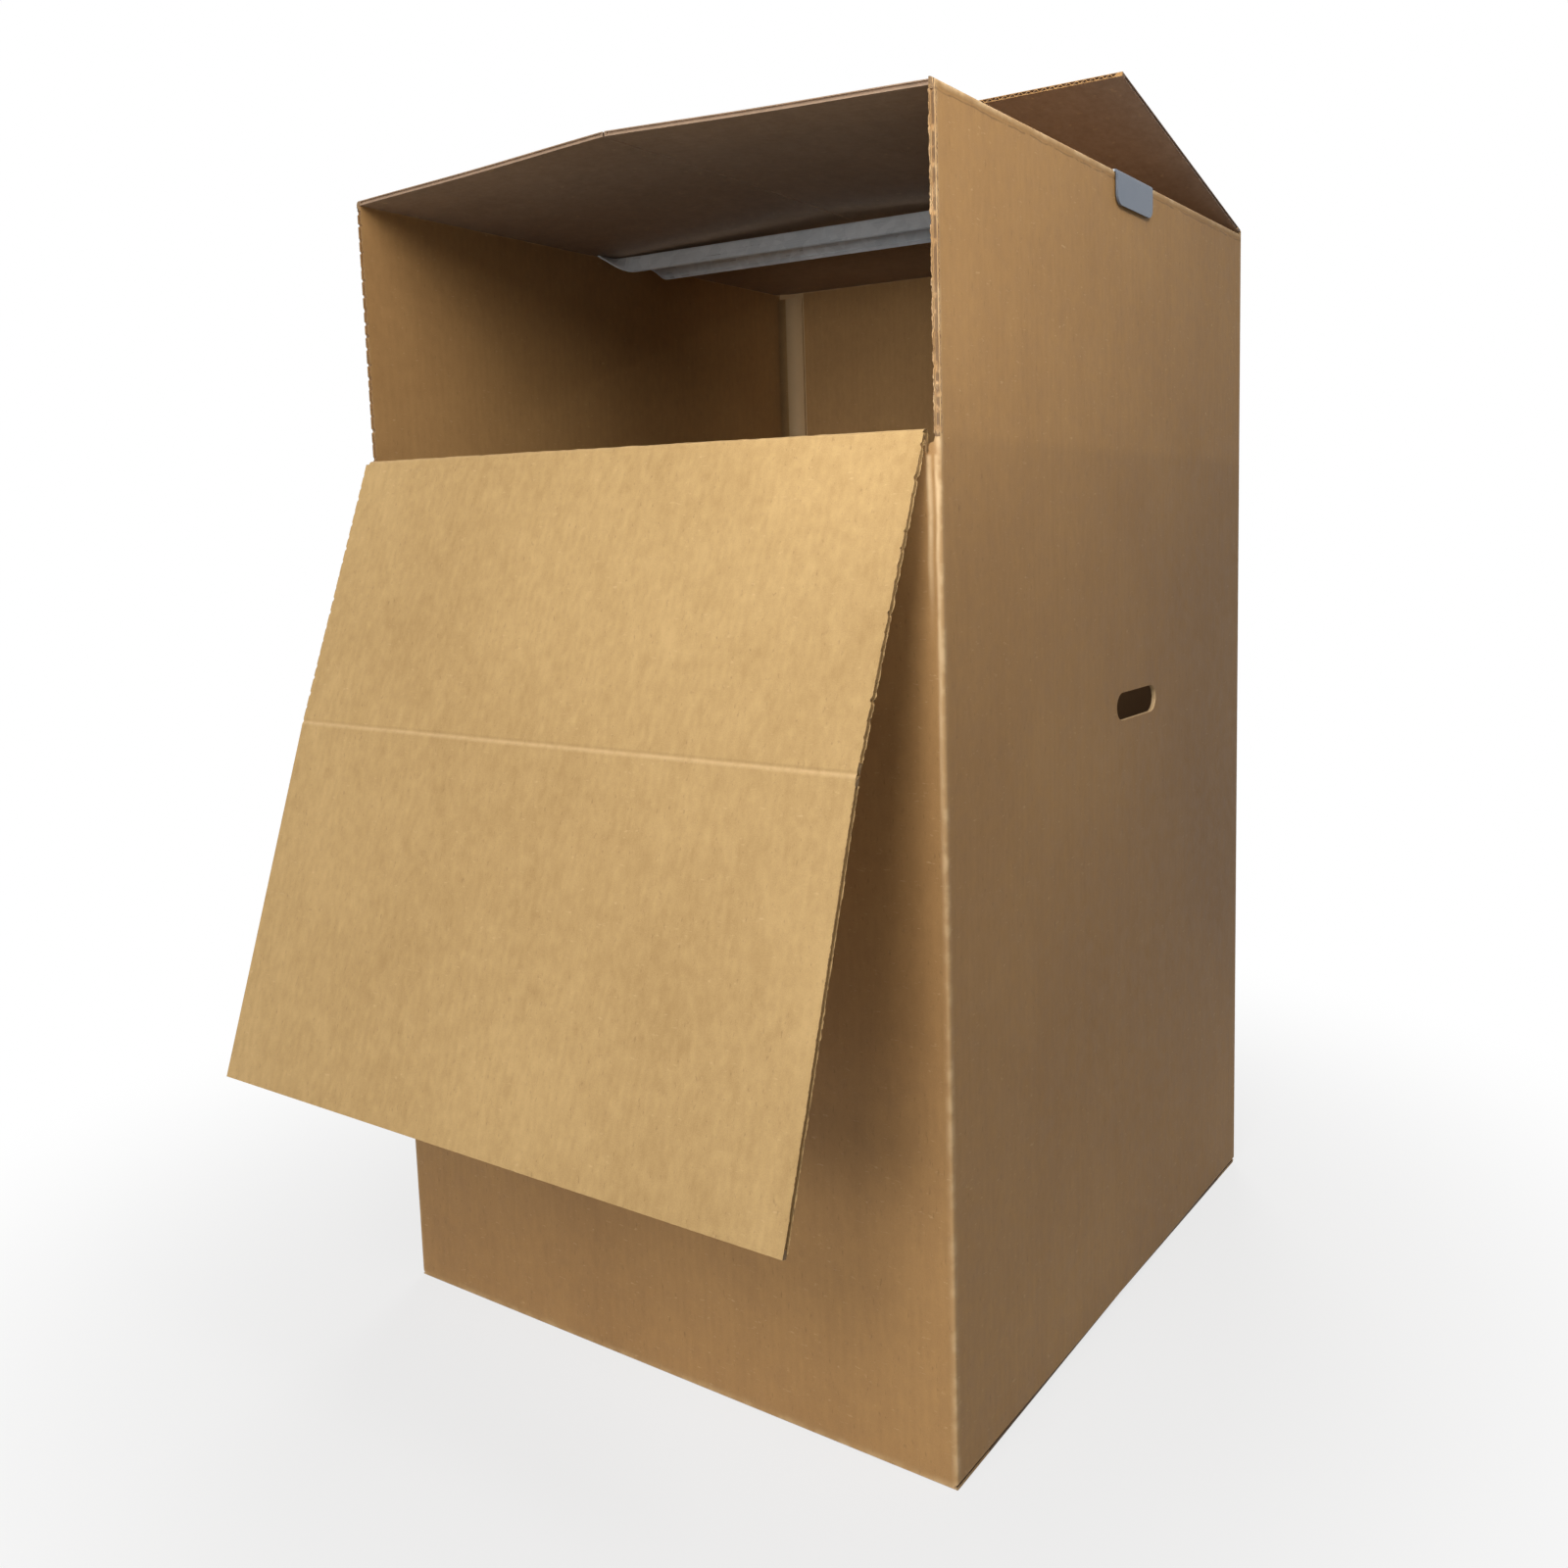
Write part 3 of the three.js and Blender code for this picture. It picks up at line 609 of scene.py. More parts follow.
class Bench:
    """Modelling as by hand: what an operator acts on is chosen in code."""

    @staticmethod
    def take(*pieces: bpy.types.Object) -> None:
        """Selects these objects only, the last of them active."""
        bpy.ops.object.select_all(action="DESELECT")
        for piece in pieces:
            piece.select_set(True)
        bpy.context.view_layer.objects.active = pieces[-1]

    @staticmethod
    def grid(name: str, columns: int, rows: int) -> bpy.types.Object:
        """Adds a flat grid.

        Args:
            name: The piece's name.
            columns: Cells along x.
            rows: Cells along y.

        Returns:
            The grid, one metre square.
        """
        bpy.ops.object.select_all(action="DESELECT")
        bpy.ops.mesh.primitive_grid_add(x_subdivisions=columns, y_subdivisions=rows, size=1.0)
        piece = bpy.context.object
        piece.name = name
        piece.data.name = name
        return piece

    @staticmethod
    def place(piece: bpy.types.Object, where: Callable[[float, float], Vector]) -> None:
        """Moves each point of a unit grid.

        Args:
            piece: The grid.
            where: Gives a point's place from its shares, 0 to 1, along the grid's x and y.
        """
        for vertex in piece.data.vertices:
            vertex.co = where(vertex.co.x + 0.5, vertex.co.y + 0.5)
        piece.data.update()

    @staticmethod
    def duplicate(source: bpy.types.Object, name: str) -> bpy.types.Object:
        """Copies an object with its mesh.

        Args:
            source: What is copied.
            name: The copy's name.

        Returns:
            The copy, on no body.
        """
        copy = source.copy()
        copy.data = source.data.copy()
        copy.parent = None
        for key in list(copy.keys()):
            del copy[key]
        copy.name = name
        copy.data.name = name
        bpy.context.scene.collection.objects.link(copy)
        return copy

    @staticmethod
    def modify(piece: bpy.types.Object, kind: str, **settings: object) -> None:
        """Adds a modifier and applies it.

        Args:
            piece: The object.
            kind: The modifier's type.
            settings: Its properties.
        """
        modifier = piece.modifiers.new(kind.lower(), kind)
        for key, value in settings.items():
            setattr(modifier, key, value)
        Bench.take(piece)
        bpy.ops.object.modifier_apply(modifier=modifier.name)

    @staticmethod
    def pick_faces(piece: bpy.types.Object, wanted: Callable[[bmesh.types.BMFace], bool]) -> None:
        """Enters edit mode with only these faces selected.

        Args:
            piece: The object.
            wanted: Says which faces.
        """
        Bench.take(piece)
        bpy.ops.object.mode_set(mode="EDIT")
        bpy.ops.mesh.select_mode(type="FACE")
        bpy.ops.mesh.select_all(action="DESELECT")
        mesh = bmesh.from_edit_mesh(piece.data)
        for face in mesh.faces:
            face.select_set(wanted(face))
        mesh.select_flush_mode()
        bmesh.update_edit_mesh(piece.data)

    @staticmethod
    def leave() -> None:
        """Returns to object mode."""
        bpy.ops.object.mode_set(mode="OBJECT")

    @staticmethod
    def flip(piece: bpy.types.Object) -> None:
        """Turns every face over.

        Args:
            piece: The sheet.
        """
        Bench.pick_faces(piece, lambda face: True)
        bpy.ops.mesh.flip_normals()
        Bench.leave()

    @staticmethod
    def face_toward(piece: bpy.types.Object, index: int, direction: Vector) -> None:
        """Turns a sheet over where its face of this index looks away from a direction."""
        if piece.data.polygons[index].normal.dot(direction) < 0:
            Bench.flip(piece)

    @staticmethod
    def merge(piece: bpy.types.Object, distance: float = 1e-6) -> None:
        """Merges doubled points and turns the faces outward.

        Args:
            piece: The object.
            distance: How near doubled points lie.
        """
        Bench.pick_faces(piece, lambda face: True)
        bpy.ops.mesh.remove_doubles(threshold=distance)
        bpy.ops.mesh.normals_make_consistent(inside=False)
        Bench.leave()

    @staticmethod
    def smooth(piece: bpy.types.Object, degrees: float) -> None:
        """Shades smooth across edges flatter than this."""
        Bench.take(piece)
        bpy.ops.object.shade_smooth_by_angle(angle=math.radians(degrees))

    @staticmethod
    def finish(
        sheet: bpy.types.Object, thickness: float, degrees: float, material: bpy.types.Material
    ) -> None:
        """Gives a sheet its thickness, its smooth shading and its material.

        Args:
            sheet: The sheet, facing outward.
            thickness: How far it goes inward.
            degrees: Edges flatter than this are smooth.
            material: Its material.
        """
        Bench.modify(sheet, "SOLIDIFY", thickness=thickness, offset=-1.0)
        Bench.smooth(sheet, degrees)
        Bench.dress(sheet, material)

    @staticmethod
    def dress(piece: bpy.types.Object, material: bpy.types.Material) -> None:
        """Gives a piece its one material."""
        piece.data.materials.clear()
        piece.data.materials.append(material)


@dataclass
class Board:
    """The corrugated board and the frame's fixed places, in metres."""

    thickness: float = 4.0 * MM
    liner: float = 0.6 * MM
    ply_gap: float = 0.5 * MM
    hinge_offset: float = 0.1 * MM
    crease_gap: float = 0.1 * MM
    low: Vector = field(default_factory=lambda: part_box("carton")[0])
    high: Vector = field(default_factory=lambda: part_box("carton")[1])

    @property
    def half_side(self) -> float:
        """Half of the box's side."""
        return self.high.x

    @property
    def middle_y(self) -> float:
        """The box's middle, which the hanging hatch keeps off the origin."""
        return (self.low.y + self.high.y) / 2

    @property
    def side_crease(self) -> float:
        """Height of the closed side flaps' upper face."""
        mitre_top = self.high.z + self.hinge_offset + self.crease_gap
        return mitre_top - self.hinge_offset - self.thickness - self.ply_gap


@dataclass
class SideFlaps:
    """The closed side flaps. They meet at a seam, bowed up by the box's own spring."""

    board: Board
    material: bpy.types.Material
    bow_front: float = 13 * MM
    seam: float = 2.4 * MM
    columns: int = 40
    rows: int = 56
    notch_width: float = 8 * MM
    notch_depth: float = 5 * MM
    sag: float = 0.06
    lip: float = 1.3
    hollow: float = 1.6 * MM
    flat_share: float = 0.12

    def _rise(self, across: float, back: float) -> float:
        """Returns the bow's height at shares of the way to the seam and to the back."""
        ridge = self.bow_front * (1 - back**2)
        return ridge * (across - self.sag * math.sin(math.pi * across) ** 2)

    def _flap(self, side: int, name: str) -> bpy.types.Object:
        """Makes one flap.

        Args:
            side: -1 for the left flap, 1 for the right one.
            name: Its name.

        Returns:
            The flap, riding on the box.
        """
        board = self.board
        start = board.half_side - board.thickness
        end = self.seam / 2
        front = board.low.y + board.thickness + board.ply_gap
        back = board.high.y - board.thickness - board.ply_gap

        def where(along: float, deep: float) -> Vector:
            """Places one point of the flap's upper face.

            Args:
                along: Share of the way to the seam.
                deep: Share of the way back.

            Returns:
                The point.
            """
            x = start + (end - start) * along
            y = front + (back - front) * deep
            in_notch = deep == 1.0 and x > start - self.notch_width
            y -= self.notch_depth if in_notch else 0.0
            return Vector((side * x, y, board.side_crease + self._rise(along, deep)))

        flap = Bench.grid(name, self.columns, self.rows)
        Bench.place(flap, where)
        if side > 0:
            Bench.flip(flap)
        Bench.merge(flap)
        Bench.face_toward(flap, 0, Vector((0, 0, 1)))
        Bench.modify(flap, "SOLIDIFY", thickness=board.thickness, offset=-1.0)
        self._hollow(flap, Vector((0, -1, 0)))
        self._hollow(flap, Vector((-side, 0, 0)))
        Bench.smooth(flap, 25)
        Bench.dress(flap, self.material)
        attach(flap, "box")
        anchor = (0, 0, board.side_crease - board.thickness / 2)
        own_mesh(flap)
        return flap

    def _hollow(self, flap: bpy.types.Object, outward: Vector) -> None:
        """Opens the gap between the liners along one cut edge.

        Args:
            flap: The flap.
            outward: The way the edge faces.
        """
        Bench.pick_faces(flap, lambda face: face.normal.dot(outward) > 0.9)
        bpy.ops.mesh.inset(thickness=self.lip * self.board.liner, use_boundary=True)
        step = -outward * self.hollow
        bpy.ops.mesh.extrude_region_move(TRANSFORM_OT_translate={"value": step})
        Bench.leave()

    def build(self) -> list[bpy.types.Object]:
        """Makes the left and the right flap."""
        return [self._flap(-1, "side_flap_left"), self._flap(1, "side_flap_right")]


@dataclass
class Crease:
    """Liner over one crease: a strip swept along x whose section the fold bends.

    The section is a list of stations. Each has its place across the crease, as y and z from the hinge,
    how far it wanders along its normal from flute to flute, and how far it is rubbed pale.
    """

    name: str
    bodies: tuple[str, str]
    hinge: Vector
    sides: tuple[float, float]
    section: list[tuple[float, float, float, float]]
    start: tuple[float, float]
    end: tuple[float, float]
    thickness: float = 0.5 * MM
    pitch: float = 4 * MM
    seed: int = 7

    def build(self, material: bpy.types.Material, slot: str) -> bpy.types.Object:
        """Makes the strip.

        Args:
            material: Its material.
            slot: The record's slot. Not used.

        Returns:
            The strip.
        """
        left, right = self.sides
        columns = round((right - left) / self.pitch)
        rows = len(self.section) - 1
        wave = self._wave(columns)
        normals = self._normals()
        strip = Bench.grid(self.name, columns, rows)

        def where(along: float, across: float) -> Vector:
            """Places one point of the strip's outer face.

            Args:
                along: Share along x.
                across: Share of the section.

            Returns:
                The point.
            """
            row = round(across * rows)
            y, z, wander, _ = self.section[row]
            step = normals[row] * wander * wave[round(along * columns)]
            x = left + (right - left) * along
            return Vector((x, self.hinge.y + y + step.x, self.hinge.z + z + step.y))

        shares = [self.section[round((v.co.y + 0.5) * rows)][3] for v in strip.data.vertices]
        Bench.place(strip, where)
        rub = strip.data.attributes.new("rub", "FLOAT", "POINT")
        rub.data.foreach_set("value", shares)
        outward = Vector((0, *normals[rows // 2]))
        Bench.face_toward(strip, len(strip.data.polygons) // 2, outward)
        Bench.finish(strip, self.thickness, 50, material)
        start = (0, self.hinge.y + self.start[0], self.hinge.z + self.start[1])
        end = (0, self.hinge.y + self.end[0], self.hinge.z + self.end[1])
        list(self.bodies)
        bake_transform(strip)
        return strip

    def _wave(self, columns: int) -> list[float]:
        """Draws how far the crease wanders.

        Args:
            columns: Cells along the crease.

        Returns:
            A share for each column, -1 to 1.
        """
        draw = random.Random(self.seed)
        rough = [draw.uniform(-1, 1) for _ in range(columns + 3)]
        return [(rough[i] + rough[i + 1]) / 2 + 0.5 * rough[i + 2] * (i % 2) for i in range(columns + 1)]

    def _normals(self) -> list[Vector]:
        """Works out the section's outward normals.

        Returns:
            A normal for each station, as y and z.
        """
        places = [Vector((y, z)) for y, z, _, _ in self.section]
        normals = []
        for i in range(len(places)):
            run = places[min(i + 1, len(places) - 1)] - places[max(i - 1, 0)]
            normals.append(Vector((run.y, -run.x)).normalized())
        return normals


@dataclass
class Creases:
    """The three creases: over the hatch's fold, between the hatch and its flap, and at the rear flap."""

    board: Board
    material: bpy.types.Material
    hatch_hinge: Vector = Vector((0, -0.218341, 0.7915))
    flap_hinge: Vector = Vector((0, -0.301765, 0.56476))
    rear_hinge: Vector = Vector((0, 0.399459, 1.0331))
    hatch_hang: float = 20.2
    flap_bend: float = 2.5
    rear_lift: float = 15.6
    hatch_sides: tuple[float, float] = (-0.3036, 0.2974)
    flap_sides: tuple[float, float] = (-0.3042, 0.2932)
    rear_sides: tuple[float, float] = (-0.3036, 0.3036)
    station: float = 2 * MM
    proud: float = 0.06 * MM

    @property
    def reach(self) -> float:
        """Distance from a hinge to the inner face of its board."""
        return self.board.thickness + self.board.hinge_offset + self.proud

    def _hatch_fold(self) -> Crease:
        """Shapes the fold over the top of the cut front wall.

        Returns:
            The crease.
        """
        turn = math.radians(180 - self.hatch_hang)
        rows = 14
        section = [(self.reach, (i - 3) * self.station, 0.0, 0.0) for i in range(3)]
        for i in range(rows + 1):
            angle = turn * i / rows
            share = math.sin(math.pi * i / rows)
            place = (self.reach * math.cos(angle), self.reach * math.sin(angle))
            section.append((*place, 0.3 * MM * share, 0.35 * share))
        y, z, _, _ = section[-1]
        hang = math.radians(self.hatch_hang)
        down = (-math.sin(hang), -math.cos(hang))
        steps = [i * self.station for i in (1, 2, 3)]
        section += [(y + down[0] * step, z + down[1] * step, 0.0, 0.0) for step in steps]
        return Crease(
            name="hatch_fold",
            bodies=("box", "hatch"),
            hinge=self.hatch_hinge,
            sides=self.hatch_sides,
            section=section,
            start=(self.reach, 0.0),
            end=(y, z),
            seed=3,
        )

    def _flap_crease(self) -> Crease:
        """Shapes the scored crease between the hatch and its top flap.

        Returns:
            The crease.
        """
        hang = math.radians(self.hatch_hang)
        bend = math.radians(self.flap_bend)
        half = 7 * MM
        blend_half = 4.3 * MM
        rows = 20

        def peak(place: float, middle: float, width: float) -> float:
            """Returns 1 at the middle, falling evenly to 0 at a width to either side."""
            return max(0.0, 1 - abs(place - middle) / width)

        section = []
        for i in range(rows + 1):
            down = -half + 2 * half * i / rows
            angle = hang - bend * i / rows
            groove = 0.85 * MM * peak(down, -0.2 * MM, 2.3 * MM)
            lip = 0.12 * MM * peak(down, 3.6 * MM, 1.6 * MM)
            out = self.reach - groove + lip
            y = -math.sin(angle) * down - math.cos(angle) * out
            z = -math.cos(angle) * down + math.sin(angle) * out
            inside = peak(down, 1.0 * MM, 2.6 * MM)
            section.append((y, z, 0.34 * MM * inside, 0.5 * inside))
        lift = (-math.cos(hang) * self.reach, math.sin(hang) * self.reach)
        start, end = [
            (lift[0] - down * math.sin(hang), lift[1] - down * math.cos(hang))
            for down in (-blend_half, blend_half)
        ]
        return Crease(
            name="flap_crease",
            bodies=("hatch", "front_top_flap"),
            hinge=self.flap_hinge,
            sides=self.flap_sides,
            section=section,
            start=start,
            end=end,
            seed=11,
        )

    def _rear_fold(self) -> Crease:
        """Shapes the fold of the lifted rear flap, seen from inside the box.

        Returns:
            The crease.
        """
        lift = math.radians(self.rear_lift)
        out = (-math.cos(lift), math.sin(lift))
        under = (-math.sin(lift), -math.cos(lift))
        corner = self.board.thickness + self.board.hinge_offset + self.board.crease_gap
        first = (-self.reach, -corner)
        last = (under[0] * self.reach + out[0] * corner, under[1] * self.reach + out[1] * corner)
        section = [(first[0], first[1] - step, 0.0, 0.0) for step in (3 * MM, 1.5 * MM)]
        rows = 12
        for i in range(rows + 1):
            share = i / rows
            place = [a + (b - a) * share for a, b in zip(first, last)]
            section.append((*place, 0.0, 0.3 * math.sin(math.pi * share)))
        for step in (1.5 * MM, 3 * MM):
            section.append((last[0] + out[0] * step, last[1] + out[1] * step, 0.0, 0.0))
        return Crease(
            name="rear_fold",
            bodies=("box", "rear_top_flap"),
            hinge=self.rear_hinge,
            sides=self.rear_sides,
            section=section[::-1],
            start=first,
            end=last,
        )

    def build(self) -> list[bpy.types.Object]:
        """Makes the three creases.

        Returns:
            The strips.
        """
        return [
            self._hatch_fold().build(self.material, "kraft_board_inside"),
            self._flap_crease().build(self.material, "kraft_board_inside"),
            self._rear_fold().build(self.material, "kraft_board"),
        ]


@dataclass
class TornLiner:
    """One liner's ragged rim along a torn edge, standing a little past the board's core."""

    name: str
    node: str
    body: str
    slot: str
    point: Vector
    normal: Vector
    along: Vector
    outward: Vector
    span: tuple[float, float]
    rim: float = 1.0 * MM
    inset: float = 3.0 * MM
    face_depth: float = 0.25 * MM
    cell: float = 2 * MM
    edge_depth: float = 14 * MM
    lift: float = 0.08 * MM
    thickness: float = 0.45 * MM
    pitch: float = 1.3 * MM
    wave: int = 5
    seed: int = 5

    def _path(self) -> list[tuple[float, float]]:
        """Reads the board's own edge.

        Returns:
            Pairs of place along the edge and reach outward, in order.
        """
        best: dict[int, tuple[float, float]] = {}
        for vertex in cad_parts[self.node].data.vertices:
            step = vertex.co - self.point
            if abs(step.dot(self.normal)) > self.face_depth:
                continue
            place, reach = step.dot(self.along), step.dot(self.outward)
            key = round(place / self.cell)
            if key not in best or reach > best[key][1]:
                best[key] = (place, reach)
        widest = max(reach for _, reach in best.values())
        return sorted(pair for pair in best.values() if pair[1] > widest - self.edge_depth)

    def _reach(self, path: list[tuple[float, float]], place: float) -> float:
        """Reads the edge's reach at a place.

        Args:
            path: The edge's points, in order.
            place: Where along the edge.

        Returns:
            The reach, between the two nearest points.
        """
        before = [pair for pair in path if pair[0] <= place] or path[:1]
        after = [pair for pair in path if pair[0] > place] or path[-1:]
        (a, low), (b, high) = before[-1], after[0]
        if abs(b - a) < 1e-6:
            return low
        return low + (high - low) * min(1.0, max(0.0, (place - a) / (b - a)))

    def build(self, material: bpy.types.Material) -> bpy.types.Object:
        """Makes the rim.

        Args:
            material: Its material.

        Returns:
            The rim, riding on its body.
        """
        path = self._path()
        draw = random.Random(self.seed)
        start, end = self.span
        columns = round(abs(end - start) / self.pitch)
        coarse = [draw.uniform(0.1, 1.0) for _ in range(columns // self.wave + 3)]
        jags = []
        for i in range(columns + 1):
            step, share = i // self.wave, (i % self.wave) / self.wave
            slow = coarse[step] * (1 - share) + coarse[step + 1] * share
            jags.append(max(0.12, slow * 0.8 + draw.uniform(-0.28, 0.28)) * self.rim)
        curls = [draw.uniform(-0.1, 0.5) * self.rim for _ in range(columns + 1)]
        strip = Bench.grid(self.name, columns, 3)

        def where(share: float, across: float) -> Vector:
            """Places one point of the rim.

            Args:
                share: Share along the edge.
                across: Share of the way out.

            Returns:
                The point.
            """
            column, row = round(share * columns), round(across * 3)
            place = start + (end - start) * share
            edge = self._reach(path, place)
            out = (-self.inset, -0.3 * self.rim, jags[column] * 0.5, jags[column])[row]
            curl = (0.0, 0.0, curls[column] * 0.3, curls[column])[row]
            lift = self.lift + curl if row else self.lift / 4
            return self.point + self.along * place + self.outward * (edge + out) + self.normal * lift

        Bench.place(strip, where)
        Bench.face_toward(strip, 0, self.normal)
        Bench.finish(strip, self.thickness, 35, material)
        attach(strip, self.body)
        return strip


@dataclass
class TornRims:
    """The torn rims along the opening's right edge and the right edges of the hatch and its flap."""

    board: Board
    wall_material: bpy.types.Material
    panel_material: bpy.types.Material
    creases: Creases
    wall_span: tuple[float, float] = (0.792, 1.0235)
    hatch_span: tuple[float, float] = (0.006, 0.2335)
    flap_span: tuple[float, float] = (0.007, 0.305)
    wall_rim: float = 1.3 * MM

    @staticmethod
    def _pair(
        name: str, faces: tuple, seed: int, material: bpy.types.Material, **edge: object
    ) -> list[bpy.types.Object]:
        """Makes the rims of both liners along one torn edge.

        Args:
            name: What their names start with.
            faces: Each liner's suffix, a point of its face and its normal.
            seed: The first rim's seed.
            material: Their material.
            edge: What else a rim is made from.

        Returns:
            The two rims.
        """
        rims = []
        for i, (side, point, normal) in enumerate(faces):
            rim = TornLiner(name=f"{name}_{side}", point=point, normal=normal, seed=seed + i, **edge)
            rims.append(rim.build(material))
        return rims

    def _panel(
        self, name: str, node: str, body: str, hinge: Vector, hang: float, span: tuple[float, float]
    ) -> list[bpy.types.Object]:
        """Makes both liners' rims of a hanging panel.

        Args:
            name: What their names start with.
            node: The panel's node.
            body: Its body.
            hinge: A point of its crease.
            hang: Its angle from straight down, in degrees.
            span: Where the rims start and end below the crease.

        Returns:
            The two rims.
        """
        angle = math.radians(hang)
        face = Vector((0, -math.cos(angle), math.sin(angle)))
        offset = self.board.hinge_offset
        near = hinge + face * (offset + self.board.thickness)
        return self._pair(
            name,
            (("near", near, face), ("far", hinge + face * offset, -face)),
            21 + len(name),
            self.panel_material,
            node=node,
            body=body,
            slot="kraft_board_inside",
            along=Vector((0, -math.sin(angle), -math.cos(angle))),
            outward=Vector((1, 0, 0)),
            span=span,
        )

    def _wall(self) -> list[bpy.types.Object]:
        """Makes both liners' rims of the right wall.

        Returns:
            The two rims.
        """
        x, y = self.board.half_side, self.board.low.y
        outer = ("outer", Vector((x, y, 0)), Vector((1, 0, 0)))
        inner = ("inner", Vector((x - self.board.thickness, y, 0)), Vector((-1, 0, 0)))
        return self._pair(
            "wall_rim",
            (outer, inner),
            40,
            self.wall_material,
            node="carton",
            body="box",
            slot="kraft_board",
            along=Vector((0, 0, 1)),
            outward=Vector((0, -1, 0)),
            span=self.wall_span,
            rim=self.wall_rim,
        )

    def build(self) -> list[bpy.types.Object]:
        """Makes all the rims.

        Returns:
            The rims.
        """
        creases = self.creases
        hatch = ("hatch_rim", "drop_front", "hatch", creases.hatch_hinge, creases.hatch_hang)
        flap_hang = creases.hatch_hang - creases.flap_bend
        flap = ("flap_rim", "front_flap", "front_top_flap", creases.flap_hinge, flap_hang)
        return [
            *self._wall(),
            *self._panel(*hatch, self.hatch_span),
            *self._panel(*flap, self.flap_span),
        ]


@dataclass
class Walls:
    """Walls, closed bottom and glue lap: the carton's solid without its flat side flaps."""

    board: Board
    material: bpy.types.Material
    play: float = 0.3 * MM
    cut_height: float = 20 * MM

    def build(self) -> bpy.types.Object:
        """Makes the walls from a copy of the carton.

        Returns:
            The walls, riding on the box.
        """
        board = self.board
        walls = Bench.duplicate(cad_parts["carton"], "walls")
        Bench.merge(walls)
        low_z = board.side_crease - board.thickness - self.play
        inside = 2 * (board.half_side - board.thickness)
        bpy.ops.object.select_all(action="DESELECT")
        bpy.ops.mesh.primitive_cube_add(size=1.0)
        cutter = bpy.context.object
        cutter.scale = (inside, inside - 0.2 * MM, self.cut_height)
        cutter.location = (0, board.middle_y, low_z + self.cut_height / 2)
        Bench.take(cutter)
        bpy.ops.object.transform_apply(location=True, rotation=True, scale=True)
        Bench.modify(walls, "BOOLEAN", object=cutter, operation="DIFFERENCE", solver="EXACT")
        bpy.data.objects.remove(cutter)
        Bench.merge(walls)
        Bench.smooth(walls, 30)
        Bench.modify(walls, "WEIGHTED_NORMAL", keep_sharp=True)
        Bench.dress(walls, self.material)
        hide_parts("carton")
        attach(walls, "box")
        return walls


@dataclass(frozen=True)
class Lamp:
    """A soft round lamp, or a beam that fades toward its edge where it has a cone, in degrees."""

    name: str
    place: tuple[float, float, float]
    target: tuple[float, float, float]
    size: float
    power: float
    tint: Colour = (1.0, 0.98, 0.95, 1.0)
    cone: float = 0.0

    def build(self) -> None:
        """Adds the lamp."""
        data = bpy.data.lights.new(self.name, "SPOT" if self.cone else "AREA")
        if self.cone:
            data.spot_size = math.radians(self.cone)
            data.spot_blend = 1.0
            data.shadow_soft_size = self.size
        else:
            data.shape = "DISK"
            data.size = self.size
        data.energy = self.power
        data.color = self.tint[:3]
        lamp = bpy.data.objects.new(self.name, data)
        bpy.context.scene.collection.objects.link(lamp)
        lamp.location = self.place
        aim = Vector(self.target) - Vector(self.place)
        lamp.rotation_euler = aim.to_track_quat("-Z", "Y").to_euler()


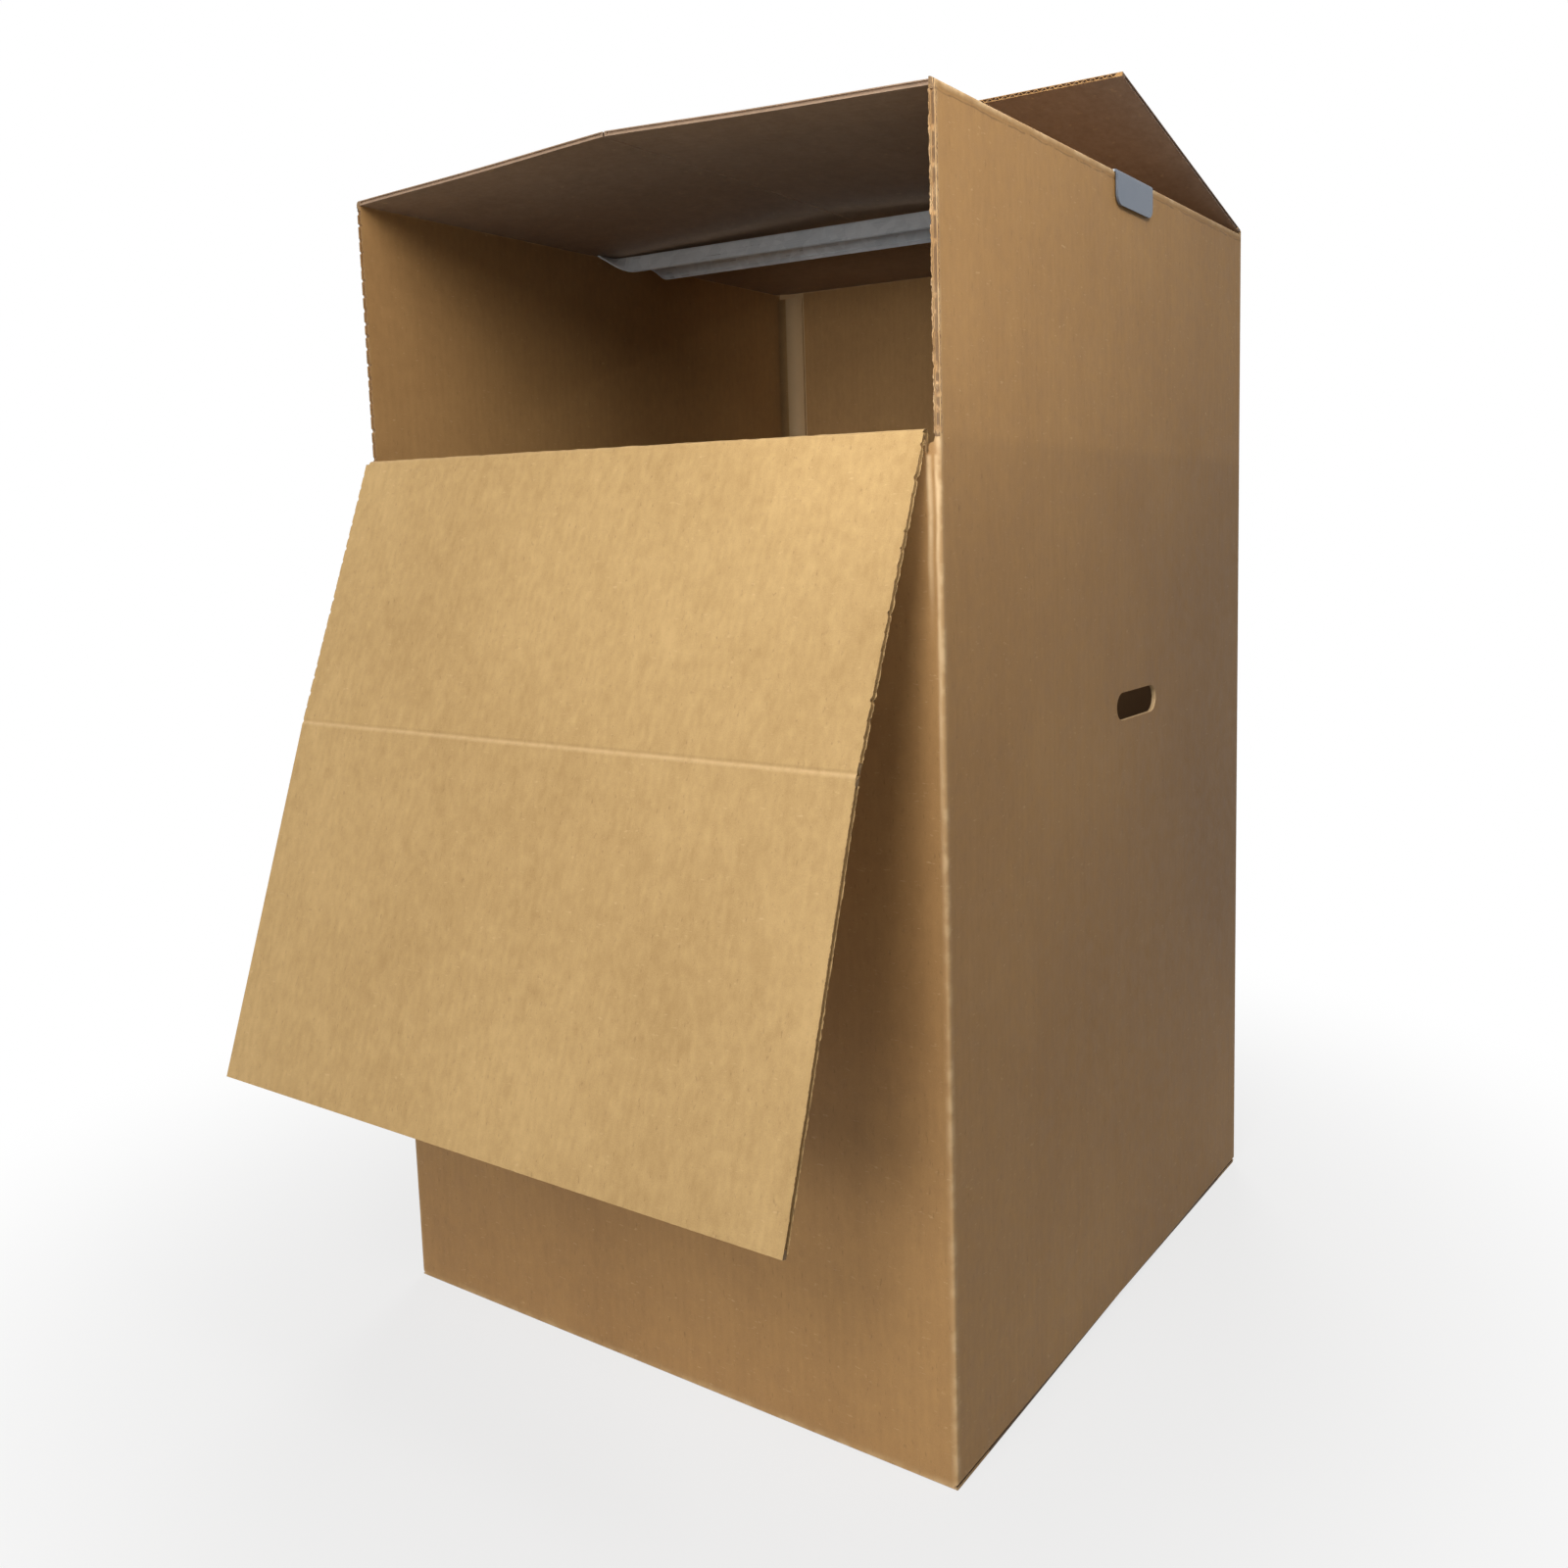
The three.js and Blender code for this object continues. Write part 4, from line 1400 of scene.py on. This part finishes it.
@dataclass
class Studio:
    """Pale floor, white backdrop, soft lamps and the camera."""

    middle_y: float
    lens: float = 31.2436
    shift: tuple[float, float] = (-0.10829, -0.06371)
    eye: tuple[float, float, float] = (0.80666, -1.12148, 0.7294)
    turn: tuple[float, float, float] = (83.3017, 0.9576, 30.9677)
    floor_grey: Colour = (0.5, 0.5, 0.5, 1.0)
    floor_white: float = 0.75
    fade: tuple[float, float] = (0.35, 1.1)
    sky: Colour = (0.85, 0.92, 1.0, 1.0)
    sky_strength: float = 0.05
    lamps: tuple[Lamp, ...] = (
        Lamp("key", (0.5, -1.75, 1.85), (0, -0.2, 0.7), 1.0, 25),
        Lamp("low_fill", (0.0, -3.2, 1.1), (0, -0.2, 0.7), 1.6, 27),
        Lamp("right_fill", (0.9, -0.45, 1.42), (0.3, 0.0, 1.0), 0.35, 5.5),
        Lamp("opening_beam", (0.78, -1.05, 0.78), (-0.14, 0.39, 0.89), 0.05, 11, (0.96, 0.98, 1, 1), 19),
        Lamp("back_fill", (-1.6, 3.2, 2.2), (0, 0.2, 0.5), 2.0, 70),
    )

    def camera(self) -> None:
        """Adds the camera at the photograph's angle."""
        data = bpy.data.cameras.new("camera")
        data.sensor_width = 36.0
        data.lens = self.lens
        data.shift_x, data.shift_y = self.shift
        data.clip_start = 0.01
        data.clip_end = 100.0
        camera = bpy.data.objects.new("camera", data)
        bpy.context.scene.collection.objects.link(camera)
        camera.location = Vector(self.eye) + Vector((0, self.middle_y, 0))
        camera.rotation_euler = [math.radians(angle) for angle in self.turn]
        bpy.context.scene.camera = camera

    def floor(self) -> None:
        """Adds the floor, which shows white to the camera away from the box."""
        bpy.ops.object.select_all(action="DESELECT")
        bpy.ops.mesh.primitive_plane_add(size=60.0, location=(0, 0, 0))
        floor = bpy.context.object
        floor.name = "floor"
        tree = ShaderTree("pale_floor")
        tree.feed(tree.shader, {"Base Color": self.floor_grey, "Roughness": 0.9})
        white = tree.node("ShaderNodeEmission", {"Color": WHITE, "Strength": 1.0})
        x, y, _ = tree.axes("Object")
        away = (x * x + y * y).math("SQRT").rise(*self.fade)
        share = tree.seen() * (away * (1 - self.floor_white) + self.floor_white)
        inputs = {0: share, 1: tree.shader.outputs[0], 2: white.outputs[0]}
        blend = tree.node("ShaderNodeMixShader", inputs)
        tree.feed(tree.nodes["Material Output"], {"Surface": blend.outputs[0]})
        Bench.dress(floor, tree.material)

    def world(self) -> None:
        """Adds a dim even sky that shows white to the camera."""
        world = bpy.data.worlds.new("studio")
        bpy.context.scene.world = world
        tree = NodeTree(world)
        tree.nodes.clear()
        dim = tree.node("ShaderNodeBackground", {"Color": self.sky, "Strength": self.sky_strength})
        white = tree.node("ShaderNodeBackground", {"Color": WHITE, "Strength": 1.0})
        inputs = {0: tree.seen(), 1: dim.outputs[0], 2: white.outputs[0]}
        blend = tree.node("ShaderNodeMixShader", inputs)
        tree.node("ShaderNodeOutputWorld", {"Surface": blend.outputs[0]})

    def build(self) -> None:
        """Sets up the whole studio."""
        bpy.context.scene.view_settings.view_transform = "Standard"
        self.camera()
        self.floor()
        self.world()
        for lamp in self.lamps:
            lamp.build()


def main() -> None:
    """Builds and dresses the box, piece by piece."""
    logging.basicConfig(level=logging.INFO, format="%(message)s")
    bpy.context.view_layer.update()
    board = Board()
    shared = {"middle_y": board.middle_y, "half_side": board.half_side}
    outer = {"light": KraftLiner.outer_light, "dark": KraftLiner.outer_dark}
    # painted shade: the inner faces of the side flaps and the rear flap take darker, greyer copies of
    # the liner
    under = {"light": screen_colour(174, 148, 124), "dark": screen_colour(145, 121, 99)}
    shaded = {"light": screen_colour(172, 149, 130), "dark": screen_colour(144, 122, 105)}
    walls = KraftLiner("kraft_walls", FluteLines.BY_WALL, mottling=0.6, box_wear_and_painted_light=True, **outer, **shared)
    flaps = KraftLiner("kraft_side_flaps", FluteLines.Y, outer_side=OuterSide.TOP, **under, **shared)
    rear = KraftLiner("kraft_rear_flap", FluteLines.X, outer_side=OuterSide.TOP, **shaded, **shared)
    panels = KraftLiner("kraft_panels", FluteLines.X, outer_side=OuterSide.BACK, **shared)
    folds = KraftLiner("kraft_creases", FluteLines.X, crease_wear=True, **shared)
    wall_liner, panel_liner = walls.build(), panels.build()
    creases = Creases(board, folds.build())
    pieces = [Walls(board, wall_liner).build(), *SideFlaps(board, flaps.build()).build()]
    pieces += creases.build()
    pieces += TornRims(board, wall_liner, panel_liner, creases).build()
    kept = {
        "drop_front": panel_liner,
        "front_flap": panel_liner,
        "rear_flap": rear.build(),
        "hanger_bar": GalvanisedSheet().build(),
    }
    for node, material in kept.items():
        Bench.dress(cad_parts[node], material)
        pieces.append(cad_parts[node])
    for piece in pieces:
        LOG.info("%s: %d faces", piece.name, len(piece.data.polygons))
    Studio(board.middle_y).build()


if __name__ == "__main__":
    main()
